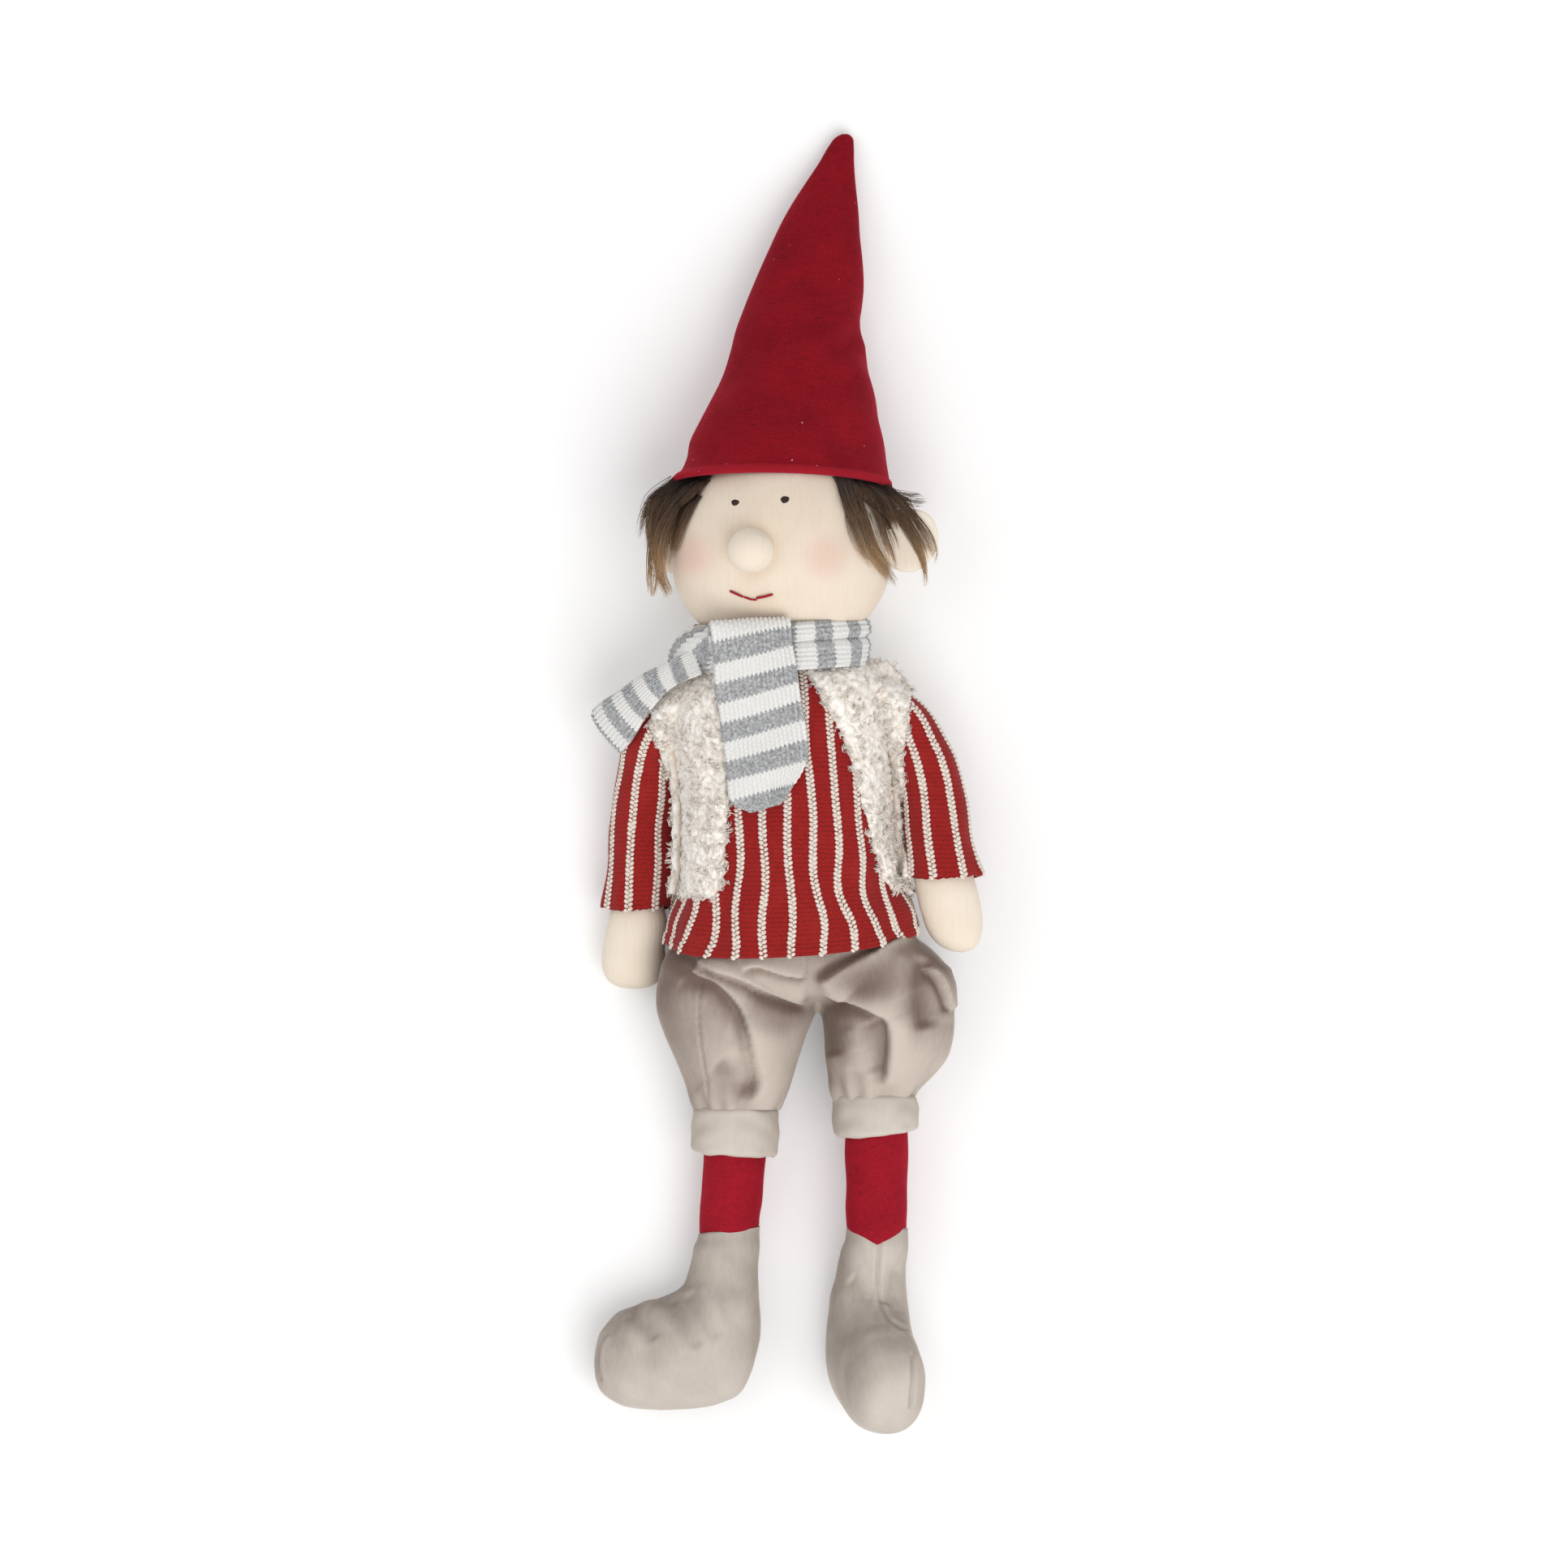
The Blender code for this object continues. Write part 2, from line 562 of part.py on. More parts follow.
def sheet_solid(outer, inner):
    """A closed sheet between an outer and an inner grid of points."""
    shape = bmesh.new()
    faces_of = []
    for grid in (outer, inner):
        faces_of.append([[shape.verts.new(point) for point in row] for row in grid])
    rows, columns = len(outer), len(outer[0])
    for grid in faces_of:
        for row in range(rows - 1):
            for column in range(columns - 1):
                shape.faces.new((grid[row][column], grid[row][column + 1],
                                 grid[row + 1][column + 1], grid[row + 1][column]))
    border = [(0, column) for column in range(columns - 1)]
    border += [(row, columns - 1) for row in range(rows - 1)]
    border += [(rows - 1, column) for column in range(columns - 1, 0, -1)]
    border += [(row, 0) for row in range(rows - 1, 0, -1)]
    top, under = faces_of
    for (row, column), (next_row, next_column) in zip(border, border[1:] + border[:1]):
        shape.faces.new((top[row][column], top[next_row][next_column],
                         under[next_row][next_column], under[row][column]))
    bmesh.ops.recalc_face_normals(shape, faces=shape.faces)
    return shape


def add_hair(doll, ear_clearances):
    grids = [[[hair_point(column, row, outside) for column in range(HAIR_COLUMNS)]
              for row in HAIR_ROWS] for outside in (True, False)]
    hair = add_piece("hair", sheet_solid(*grids), "fur", doll)
    for clearance in ear_clearances:
        combine(hair, clearance, 'DIFFERENCE')


# Hat

def hat_section(rise):
    """The hat's outer cross-section at a share of its height."""
    y = HEAD_CENTRE.y + HAT_BRIM_RISE + HAT_HEIGHT * rise
    width = blend(HAT_BRIM_WIDTH, HAT_TIP_WIDTH, rise) / 2
    width -= HAT_TUCK * math.exp(-((rise - HAT_TUCK_AT) / HAT_TUCK_SPREAD) ** 2)
    depth = blend(HAT_BRIM_DEPTH, HAT_TIP_WIDTH, rise) / 2
    x = HEAD_X + HAT_TIP_SHIFT * rise ** HAT_TIP_CURVE
    lean = (0.0, HAT_BRIM_LEAN * (1.0 - rise))
    return Section(y, x, depth, width, depth, lean)


def add_hat(doll):
    """A felt cone, open at the brim, with a rolled hem."""
    hem = HAT_HEM / HAT_HEIGHT
    rises = [0.0, hem - HAT_HEM_ROLL / HAT_HEIGHT]
    rolls = [HAT_HEM_ROLL] * len(rises)
    above = [blend(hem, 1.0, step / HAT_ROWS) for step in range(HAT_ROWS + 1)]
    rises += above
    rolls += [0.0] * len(above)
    outer = [ring(hat_section(rise), BODY_SIDES, grow=roll) for rise, roll in zip(rises, rolls)]
    inner = [ring(hat_section(rise), BODY_SIDES, grow=-HAT_FELT, floor=HAT_FELT) for rise in rises[:-1]]
    shape = bmesh.new()
    outside = add_loft(shape, outer, close_start=False)
    inside = add_loft(shape, inner, close_start=False)
    for step in range(BODY_SIDES):
        after = (step + 1) % BODY_SIDES
        shape.faces.new((outside[0][step], outside[0][after], inside[0][after], inside[0][step]))
    bmesh.ops.recalc_face_normals(shape, faces=shape.faces)
    add_piece("hat", shape, "felt", doll)


# Sweater, vest and stuffed body

BACK_OF_SWEATER = VEST_PILE + VEST_EASE


def body_rings(sections, grow=0.0):
    return [ring(section, BODY_SIDES, grow, BACK_OF_SWEATER - grow, BODY_SQUARENESS)
            for section in sections]


def limb_rings(sections, grow=0.0, folds=None):
    return [ring(section, LIMB_SIDES, grow, -grow, folds=folds) for section in sections]


def add_sweater(doll):
    """A knitted shell, open at the neck, the hem and both wrists; gives back the form inside its body."""
    sweater = add_piece("sweater", solid_loft(body_rings(BODY)), "striped_knit", doll)
    sleeves = {"left": SLEEVE_LEFT, "right": SLEEVE_RIGHT}
    for side, sections in sleeves.items():
        outside = add_cutter("sleeve_" + side + "_outside", solid_loft(limb_rings(sections)), doll)
        combine(sweater, outside, 'UNION')
    body_inside = add_cutter(
        "sweater_inside", solid_loft(body_rings(opened(BODY, WELL_PAST), -SWEATER_KNIT)), doll)
    combine(sweater, body_inside, 'DIFFERENCE')
    for side, sections in sleeves.items():
        run = [shifted(sections[0], -SWEATER_KNIT)] + list(sections[1:]) + [shifted(sections[-1], -WELL_PAST)]
        inside = add_cutter("sleeve_" + side + "_inside", solid_loft(limb_rings(run, -SWEATER_KNIT)), doll)
        combine(sweater, inside, 'DIFFERENCE')
    return body_inside


def add_torso(doll):
    """The stuffed trunk that the clothes and limbs hang on."""
    under_knit = SWEATER_KNIT + TRUNK_EASE
    chest = [section._replace(half_width=section.half_width - under_knit,
                              half_depth=section.half_depth - under_knit)
             for section in BODY if section.y >= WAIST]
    rings = [ring(section, BODY_SIDES, 0.0, BACK_OF_SWEATER + under_knit, BODY_SQUARENESS)
             for section in chest + list(PELVIS)]
    add_piece("torso", solid_loft(rings), "jersey", doll)


def add_arm(side, sleeve, hand, body_inside, doll):
    """A stuffed arm with a mitten hand, cut to the trunk at the shoulder."""
    under_knit = SWEATER_KNIT + GAP
    slim = [section._replace(half_width=section.half_width - under_knit,
                             half_depth=section.half_depth - under_knit) for section in sleeve]
    slim[0] = shifted(slim[0], -under_knit)
    rings = [ring(section, LIMB_SIDES, 0.0, under_knit) for section in slim]
    rings += [ring(section, LIMB_SIDES) for section in hand]
    arm = add_piece("arm_" + side, solid_loft(rings), "jersey", doll)
    combine(arm, body_inside, 'DIFFERENCE')


def line_value(points, at):
    """The value at a height on a line of (height, value) points that run downwards."""
    for (high, first), (low, second) in zip(points, points[1:]):
        if at >= low:
            return blend(first, second, (high - at) / (high - low))
    return points[-1][1]


def body_section_at(y):
    for upper, lower in zip(BODY, BODY[1:]):
        if lower.y <= y <= upper.y:
            return blend_sections(upper, lower, (upper.y - y) / (upper.y - lower.y))
    return BODY[-1]


def vest_row(y, grow):
    """Points round the back from the right front edge to the left one."""
    section = body_section_at(y)
    width = section.half_width + grow
    edges = []
    for edge in (VEST_EDGE_RIGHT, VEST_EDGE_LEFT):
        share = kept_within((line_value(edge, y) - section.x) / width, -1.0, 1.0)
        edges.append(math.acos(math.copysign(abs(share) ** (BODY_SQUARENESS / 2), share)))
    start, stop = edges[0], edges[1] + 2 * math.pi
    points = []
    for column in range(VEST_COLUMNS):
        angle = blend(start, stop, column / (VEST_COLUMNS - 1))
        c, s = round_point(angle, BODY_SQUARENESS)
        up = max((section.half_depth + grow) * s, BACK_OF_SWEATER - grow - section.z)
        lean = section.lean[0] * width * c + section.lean[1] * up
        points.append(Vector((section.x + width * c, y + lean, section.z + up)))
    return points


def add_vest(doll):
    """A fleece waistcoat, open at the front, with the sleeves coming out of its armholes."""
    seams = [VEST_TOP] + [section.y for section in BODY if VEST_HEM < section.y < VEST_TOP] + [VEST_HEM]
    heights = seams[:1]
    for upper, lower in zip(seams, seams[1:]):
        heights += [(upper + lower) / 2, lower] if upper - lower > VEST_ROW_SPACING else [lower]
    outer = [vest_row(y, VEST_EASE + VEST_PILE) for y in heights]
    inner = [vest_row(y, VEST_EASE) for y in heights]
    vest = add_piece("vest", sheet_solid(outer, inner), "fleece", doll)
    for side, sections in (("left", SLEEVE_LEFT), ("right", SLEEVE_RIGHT)):
        grown = [section._replace(half_width=section.half_width + VEST_EASE,
                                  half_depth=section.half_depth + VEST_EASE) for section in sections]
        grown[0] = shifted(grown[0], VEST_EASE)
        armhole = add_cutter("armhole_" + side, solid_loft(limb_rings(grown)), doll)
        combine(vest, armhole, 'DIFFERENCE')


# Scarf

def scarf_loop():
    """The wrap round the neck, sagging at the front."""
    rings = []
    for step in range(BODY_SIDES):
        angle = 2 * math.pi * step / BODY_SIDES
        c, s = math.cos(angle), math.sin(angle)
        height = SCARF_LOOP_HEIGHT / 2
        middle_y = VEST_TOP + GAP + height - SCARF_LOOP_SAG * max(s, 0.0) ** 2
        thick = SCARF_KNIT * SCARF_LOOP_CREASE
        points = []
        for turn in range(SCARF_SIDES):
            out, rise = round_point(2 * math.pi * turn / SCARF_SIDES, SCARF_LOOP_SQUARENESS)
            inwards = (1.0 - out) * thick / 2
            across = SCARF_LOOP_WIDTH / 2 - inwards
            up = SCARF_LOOP_DEPTH / 2 - inwards
            points.append(Vector((SCARF_LOOP_X + across * c, middle_y + rise * height,
                                  SCARF_LOOP_Z + up * s)))
        rings.append(points)
    return solid_loft(rings, loop=True)


def strip_rings(run, across_way, width, bow):
    """Cross-sections of a flat knitted strip that follows a run; its middle bows up."""
    rings = []
    for index, point in enumerate(run):
        ahead = run[min(index + 1, len(run) - 1)]
        behind = run[max(index - 1, 0)]
        along = (ahead - behind).normalized()
        side = Vector(across_way)
        side = (side - along * side.dot(along)).normalized()
        up = side.cross(along)
        points = []
        for turn in range(SCARF_SIDES):
            across, over = round_point(2 * math.pi * turn / SCARF_SIDES, SCARF_STRIP_SQUARENESS)
            lift = over * SCARF_KNIT / 2 - bow * across ** 2
            points.append(point + side * across * width / 2 + up * lift)
        rings.append(points)
    return rings


def add_scarf(doll):
    """A knitted strip: a loop round the neck, one end down the chest and one over the shoulder."""
    scarf = add_piece("scarf", scarf_loop(), "rib_knit", doll)
    ends = (("scarf_tail", SCARF_TAIL_RUN, SCARF_TAIL_ACROSS, SCARF_TAIL_WIDTH, SCARF_TAIL_BOW),
            ("scarf_side", SCARF_SIDE_RUN, SCARF_SIDE_ACROSS, SCARF_SIDE_WIDTH, SCARF_SIDE_BOW))
    for name, run, across_way, width, bow in ends:
        strip = solid_loft(strip_rings(smooth_run(run, SCARF_CUTS), across_way, width, bow))
        combine(scarf, add_cutter(name, strip, doll), 'UNION')


# Trousers, legs and boots

def trouser_folds(y_start, y_end):
    """Gathers that deepen towards the cuff, over broad soft drapes."""
    def fold(angle, y):
        run = kept_within((y - y_start) / (y_end - y_start), 0.0, 1.0)
        gather = GATHER_DEPTH * run ** 2 * math.sin(GATHERS * angle)
        drape = DRAPE_DEPTH * math.sin(math.pi * run) * math.sin(DRAPES * angle + DRAPE_TWIST * run)
        return gather + drape
    return fold


def add_trousers(doll):
    """A velvet shell, open at the waist and over both cuffs."""
    seat = solid_loft([ring(section, BODY_SIDES, squareness=BODY_SQUARENESS)
                       for section in TROUSER_SEAT])
    trousers = add_piece("trousers", seat, "velvet", doll)
    legs = {"left": TROUSER_LEG_LEFT, "right": TROUSER_LEG_RIGHT}
    for side, sections in legs.items():
        folds = trouser_folds(sections[0].y, sections[-1].y)
        outside = add_cutter("trouser_leg_" + side, solid_loft(limb_rings(sections, folds=folds)), doll)
        combine(trousers, outside, 'UNION')
    waist = [shifted(TROUSER_SEAT[0], WELL_PAST)] + list(TROUSER_SEAT[:-1])
    waist.append(shifted(TROUSER_SEAT[-1], TROUSER_VELVET))
    seat_inside = solid_loft([ring(section, BODY_SIDES, -TROUSER_VELVET, TROUSER_VELVET, BODY_SQUARENESS)
                              for section in waist])
    combine(trousers, add_cutter("trouser_seat_inside", seat_inside, doll), 'DIFFERENCE')
    for side, sections in legs.items():
        folds = trouser_folds(sections[0].y, sections[-1].y)
        run = list(sections) + [shifted(sections[-1], -WELL_PAST)]
        inside = solid_loft(limb_rings(run, -TROUSER_VELVET, folds))
        combine(trousers, add_cutter("trouser_leg_" + side + "_inside", inside, doll), 'DIFFERENCE')


def leg_point(run, y):
    for upper, lower in zip(run, run[1:]):
        if lower[1] <= y <= upper[1]:
            share = (upper[1] - y) / (upper[1] - lower[1])
            return Vector([blend(a, b, share) for a, b in zip(upper, lower)])
    return Vector(run[-1])


def leg_rings(run, grow=0.0):
    half = LEG_WIDTH / 2 + grow
    return [ring(Section(y, x, z, half, half, NO_LEAN), LIMB_SIDES) for x, y, z in run]


def add_leg(side, run, doll):
    """A stuffed stocking leg from the hip down to the boot that is sewn on its end."""
    add_piece("leg_" + side, solid_loft(leg_rings(run)), "stocking_felt", doll)
    return add_cutter("leg_" + side + "_clearance", solid_loft(leg_rings(run, GAP)), doll)


def add_cuff(side, trouser_leg, length, run, leg_clearance, doll):
    """The band that gathers a trouser leg over the stocking."""
    top = trouser_leg[-1].y - GAP
    rings = []
    for share, grow in CUFF_PROFILE:
        y = top - length * share
        middle = leg_point(run, y)
        section = Section(y, middle.x, middle.z, CUFF_HALF_WIDTH, CUFF_HALF_DEPTH, NO_LEAN)
        rings.append(ring(section, LIMB_SIDES, grow))
    cuff = add_piece("trouser_cuff_" + side, solid_loft(rings), "velvet", doll)
    combine(cuff, leg_clearance, 'DIFFERENCE')


def add_boot(side, run, toe, doll):
    """A stuffed cloth boot, sewn to the end of the leg."""
    ankle = Vector(run[-1]) - Vector((0.0, GAP, 0.0))
    forward = Vector(toe).normalized()
    down = Vector((0.0, -1.0, 0.0))
    down = (down - forward * down.dot(forward)).normalized()
    thick = forward.cross(down)
    first_across = Vector((forward.x, 0.0, forward.z)).normalized()
    first_thick = first_across.cross(Vector((0.0, -1.0, 0.0)))
    turns = [2 * math.pi * step / LIMB_SIDES for step in range(LIMB_SIDES)]
    rings = [[ankle + (first_across * math.cos(turn) + first_thick * math.sin(turn)) * LEG_WIDTH / 2
              for turn in turns]]
    for front, back, half in BOOT_LOOPS:
        first = ankle + forward * front[0] + down * front[1]
        second = ankle + forward * back[0] + down * back[1]
        middle, reach = (first + second) / 2, (first - second) / 2
        points = []
        for turn in turns:
            c, s = round_point(turn, BODY_SQUARENESS)
            point = middle + reach * c + thick * half * s
            points.append(Vector((point.x, point.y, max(point.z, 0.0))))
        rings.append(points)
    add_piece("boot_" + side, solid_loft(rings), "boot_velvet", doll)


def build():
    clear_scene()
    doll = bpy.data.objects.new("doll", None)
    bpy.context.scene.collection.objects.link(doll)
    head_clearance = add_head(doll)
    add_nose(doll, head_clearance)
    add_eye("eye_left", EYE_LEFT_AT, doll, head_clearance)
    add_eye("eye_right", EYE_RIGHT_AT, doll, head_clearance)
    add_mouth(doll)
    ear_clearances = [add_ear("ear_left", 1, EAR_LEFT_TURN, doll, head_clearance),
                      add_ear("ear_right", -1, EAR_RIGHT_TURN, doll, head_clearance)]
    add_hair(doll, ear_clearances)
    add_hat(doll)
    body_inside = add_sweater(doll)
    add_torso(doll)
    add_arm("left", SLEEVE_LEFT, HAND_LEFT, body_inside, doll)
    add_arm("right", SLEEVE_RIGHT, HAND_RIGHT, body_inside, doll)
    add_vest(doll)
    add_scarf(doll)
    add_trousers(doll)
    for side, run, trouser_leg, cuff_length, toe in (
            ("left", LEG_LEFT_RUN, TROUSER_LEG_LEFT, CUFF_LEFT_LENGTH, BOOT_LEFT_TOE),
            ("right", LEG_RIGHT_RUN, TROUSER_LEG_RIGHT, CUFF_RIGHT_LENGTH, BOOT_RIGHT_TOE)):
        leg_clearance = add_leg(side, run, doll)
        add_cuff(side, trouser_leg, cuff_length, run, leg_clearance, doll)
        add_boot(side, run, toe, doll)


build()
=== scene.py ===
"""A soft cloth elf doll that lies on its back: the form and finish of every piece, in metres.

+Y runs to the tip of the hat and +Z out of the face. Left and right are the doll's own.
"""

import math
from functools import partial

import bmesh
import bpy
import numpy as np
from mathutils import Matrix, Vector, kdtree
from mathutils.bvhtree import BVHTree


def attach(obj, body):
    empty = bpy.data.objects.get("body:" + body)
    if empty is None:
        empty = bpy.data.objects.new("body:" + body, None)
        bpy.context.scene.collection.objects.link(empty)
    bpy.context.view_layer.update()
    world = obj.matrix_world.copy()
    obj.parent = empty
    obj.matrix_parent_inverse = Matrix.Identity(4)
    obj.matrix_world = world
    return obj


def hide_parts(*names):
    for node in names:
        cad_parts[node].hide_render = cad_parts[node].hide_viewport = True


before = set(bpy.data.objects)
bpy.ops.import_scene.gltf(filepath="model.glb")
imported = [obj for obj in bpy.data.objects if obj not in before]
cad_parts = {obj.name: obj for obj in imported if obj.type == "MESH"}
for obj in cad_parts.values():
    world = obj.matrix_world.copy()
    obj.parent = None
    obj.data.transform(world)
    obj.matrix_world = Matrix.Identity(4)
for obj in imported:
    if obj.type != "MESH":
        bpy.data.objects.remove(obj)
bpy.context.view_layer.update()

# Head and face, as the frame has them
HEAD_CENTRE = np.array((-0.0011, 0.1030, 0.0462))
HEAD_WIDTH = 0.1012
HEAD_DEPTH = 0.0840
CHIN_DROP = 0.0429
CROWN_RISE = 0.0560
NOSE_WIDTH = 0.0210
NOSE_AT = (-0.0142, 0.0038)
EAR_REACH = {"left": 0.0218, "right": 0.0160}
EAR_ROOT = 0.0044
EAR_HEIGHT = 0.0290
EAR_THICKNESS = 0.0070
EAR_RISE = 0.0095
EAR_TURNS = {"left": 6.0, "right": -24.0}
BLUSH_AT = ((-0.0403, 0.0030), (0.0198, 0.0030))
BLUSH_REACH = 0.0150
STITCH_THICKNESS = 0.0011
MOUTH_STITCHES = (
    ((-0.0234, -0.0147), (-0.0206, -0.0160), (-0.0178, -0.0172)),
    ((-0.0171, -0.0174), (-0.0142, -0.0184), (-0.0115, -0.0187)),
    ((-0.0113, -0.0178), (-0.0078, -0.0172), (-0.0042, -0.0162)),
)
EYES = {"left": ((0.0015, 0.0273), (0.0020, 0.0016), 12.0), "right": ((-0.0213, 0.0260), (0.0018, 0.0014), 6.0)}

# Hat: x of its left and right edge in the photo's plane at heights y, from the brim to the tip
HAT_OUTLINE = (
    (0.1374, -0.0518, 0.0489), (0.1420, -0.0476, 0.0484), (0.1480, -0.0450, 0.0474), (0.1560, -0.0438, 0.0463),
    (0.1647, -0.0400, 0.0452), (0.1759, -0.0345, 0.0436), (0.1871, -0.0290, 0.0414), (0.1983, -0.0250, 0.0388),
    (0.2095, -0.0217, 0.0362), (0.2207, -0.0173, 0.0363), (0.2319, -0.0124, 0.0362), (0.2431, -0.0075, 0.0355),
    (0.2543, -0.0020, 0.0345), (0.2655, 0.0041, 0.0337), (0.2767, 0.0104, 0.0332), (0.2879, 0.0165, 0.0325),
    (0.2950, 0.0210, 0.0322), (0.2985, 0.0238, 0.0316), (0.3000, 0.0262, 0.0300),
)
HAT_BRIM_DEPTH = 0.0390
HAT_TIP_DEPTH = 0.0037
HAT_BRIM_LEAN = (-0.034, 0.150)
HAT_FELT = 0.0020
HAT_HEM = 0.0040
HAT_HEM_ROLL = 0.0011
HAT_TIP_ROUND = 0.0038
HAT_REST = 0.0002

# Runs of cross-sections: y, x, z, half width, half depth, and how y leans across and upwards
BODY = (
    (0.0598, -0.0005, 0.0420, 0.0270, 0.0195, 0.0, 0.0),
    (0.0570, -0.0007, 0.0415, 0.0330, 0.0240, 0.0, 0.0),
    (0.0510, -0.0012, 0.0412, 0.0410, 0.0315, 0.0, 0.0),
    (0.0420, -0.0018, 0.0408, 0.0460, 0.0365, 0.0, 0.0),
    (0.0280, -0.0020, 0.0405, 0.0474, 0.0378, 0.0, 0.0),
    (0.0000, 0.0008, 0.0405, 0.0469, 0.0380, 0.0, 0.0),
    (-0.0300, 0.0020, 0.0405, 0.0477, 0.0380, 0.0, 0.0),
    (-0.0460, 0.0026, 0.0405, 0.0492, 0.0380, 0.020, -0.080),
    (-0.0600, 0.0042, 0.0408, 0.0556, 0.0382, 0.045, -0.190),
    (-0.0690, 0.0040, 0.0410, 0.0572, 0.0378, 0.063, -0.270),
)
TRUNK_END = (
    (-0.0700, 0.0046, 0.0385, 0.0430, 0.0290, 0.0, 0.0),
    (-0.0860, 0.0060, 0.0365, 0.0380, 0.0230, 0.0, 0.0),
    (-0.0900, 0.0060, 0.0360, 0.0001, 0.0001, 0.0, 0.0),
)
SLEEVES = {
    "right": (
        (0.0440, -0.0400, 0.0410, 0.0100, 0.0120), (0.0320, -0.0530, 0.0380, 0.0120, 0.0140),
        (0.0190, -0.0602, 0.0320, 0.0129, 0.0146), (0.0060, -0.0634, 0.0258, 0.0138, 0.0148),
        (-0.0145, -0.0649, 0.0190, 0.0149, 0.0148), (-0.0369, -0.0658, 0.0160, 0.0155, 0.0146),
        (-0.0572, -0.0675, 0.0150, 0.0150, 0.0138),
    ),
    "left": (
        (0.0460, 0.0400, 0.0420, 0.0100, 0.0120), (0.0360, 0.0525, 0.0420, 0.0124, 0.0140),
        (0.0190, 0.0615, 0.0420, 0.0135, 0.0148), (-0.0034, 0.0684, 0.0430, 0.0146, 0.0146),
        (-0.0257, 0.0715, 0.0450, 0.0155, 0.0140), (-0.0425, 0.0733, 0.0462, 0.0167, 0.0132),
    ),
}
HANDS = {
    "right": (
        (-0.0640, -0.0676, 0.0142, 0.0138, 0.0120), (-0.0744, -0.0690, 0.0136, 0.0147, 0.0124),
        (-0.0850, -0.0694, 0.0130, 0.0146, 0.0120), (-0.0908, -0.0694, 0.0127, 0.0118, 0.0098),
        (-0.0937, -0.0694, 0.0126, 0.0066, 0.0056), (-0.0945, -0.0694, 0.0126, 0.0001, 0.0001),
    ),
    "left": (
        (-0.0520, 0.0755, 0.0467, 0.0143, 0.0116), (-0.0600, 0.0770, 0.0470, 0.0142, 0.0116),
        (-0.0665, 0.0782, 0.0472, 0.0132, 0.0108), (-0.0725, 0.0797, 0.0472, 0.0102, 0.0088),
        (-0.0762, 0.0812, 0.0472, 0.0058, 0.0050), (-0.0777, 0.0817, 0.0472, 0.0001, 0.0001),
    ),
}
TROUSER_SEAT = (
    (-0.0500, 0.0036, 0.0412, 0.0440, 0.0300), (-0.0600, 0.0040, 0.0410, 0.0495, 0.0318),
    (-0.0690, 0.0052, 0.0390, 0.0545, 0.0338), (-0.0760, 0.0078, 0.0365, 0.0598, 0.0362),
    (-0.0860, 0.0110, 0.0335, 0.0674, 0.0350), (-0.0940, 0.0108, 0.0315, 0.0640, 0.0300),
    (-0.0985, 0.0120, 0.0290, 0.0380, 0.0200), (-0.0995, 0.0125, 0.0290, 0.0001, 0.0001),
)
TROUSER_LEGS = {
    "right": (
        (-0.0700, -0.0200, 0.0350, 0.0200, 0.0220), (-0.0780, -0.0215, 0.0345, 0.0310, 0.0330),
        (-0.0900, -0.0224, 0.0328, 0.0355, 0.0328), (-0.1040, -0.0222, 0.0305, 0.0371, 0.0312),
        (-0.1153, -0.0229, 0.0288, 0.0326, 0.0294), (-0.1264, -0.0220, 0.0280, 0.0280, 0.0268),
        (-0.1376, -0.0213, 0.0268, 0.0244, 0.0222), (-0.1470, -0.0221, 0.0260, 0.0214, 0.0188),
        (-0.1540, -0.0222, 0.0256, 0.0180, 0.0150),
    ),
    "left": (
        (-0.0700, 0.0410, 0.0350, 0.0200, 0.0220), (-0.0780, 0.0430, 0.0345, 0.0290, 0.0330),
        (-0.0900, 0.0476, 0.0328, 0.0322, 0.0328), (-0.1040, 0.0479, 0.0308, 0.0308, 0.0312),
        (-0.1153, 0.0483, 0.0296, 0.0296, 0.0294), (-0.1264, 0.0470, 0.0290, 0.0278, 0.0268),
        (-0.1350, 0.0444, 0.0284, 0.0238, 0.0222), (-0.1410, 0.0420, 0.0280, 0.0206, 0.0186),
        (-0.1470, 0.0418, 0.0280, 0.0170, 0.0150),
    ),
}
HIP = -0.0903
ANKLE = -0.2038
LEG_HALF = 0.0143
LEG_RUNS = {
    "right": ((HIP, -0.0180, 0.0350), (-0.1250, -0.0210, 0.0290), (-0.1500, -0.0226, 0.0258),
              (-0.1710, -0.0228, 0.0235), (-0.1900, -0.0242, 0.0212), (ANKLE, -0.0250, 0.0200)),
    "left": ((HIP, 0.0365, 0.0350), (-0.1250, 0.0425, 0.0290), (-0.1430, 0.0418, 0.0280),
             (-0.1620, 0.0426, 0.0280), (-0.1850, 0.0426, 0.0280), (ANKLE, 0.0426, 0.0278)),
}
CUFF_SPANS = {"right": (-0.1488, -0.1703), "left": (-0.1430, -0.1605)}
CUFF_HALF = (0.0193, 0.0172)
CUFF_DEPTH = 0.0034
CUFF_ROLL = 0.0013
CUFF_TILT = {"left": 0.0016, "right": -0.0012}
BOOT_LOOPS = (
    ((0.0143, 0.0000), (-0.0143, 0.0000), 0.0143),
    ((0.0190, 0.0215), (-0.0134, 0.0225), 0.0160),
    ((0.0228, 0.0282), (-0.0132, 0.0520), 0.0182),
    ((0.0314, 0.0327), (-0.0030, 0.0775), 0.0194),
    ((0.0407, 0.0353), (0.0330, 0.0842), 0.0194),
    ((0.0519, 0.0402), (0.0500, 0.0815), 0.0176),
    ((0.0590, 0.0480), (0.0590, 0.0765), 0.0130),
    ((0.0622, 0.0600), (0.0622, 0.0680), 0.0050),
    ((0.0626, 0.0640), (0.0626, 0.0641), 0.0001),
)
BOOT_TOES = {"right": (-1.0, 0.0, 0.0), "left": (0.25, -0.43, 0.87)}

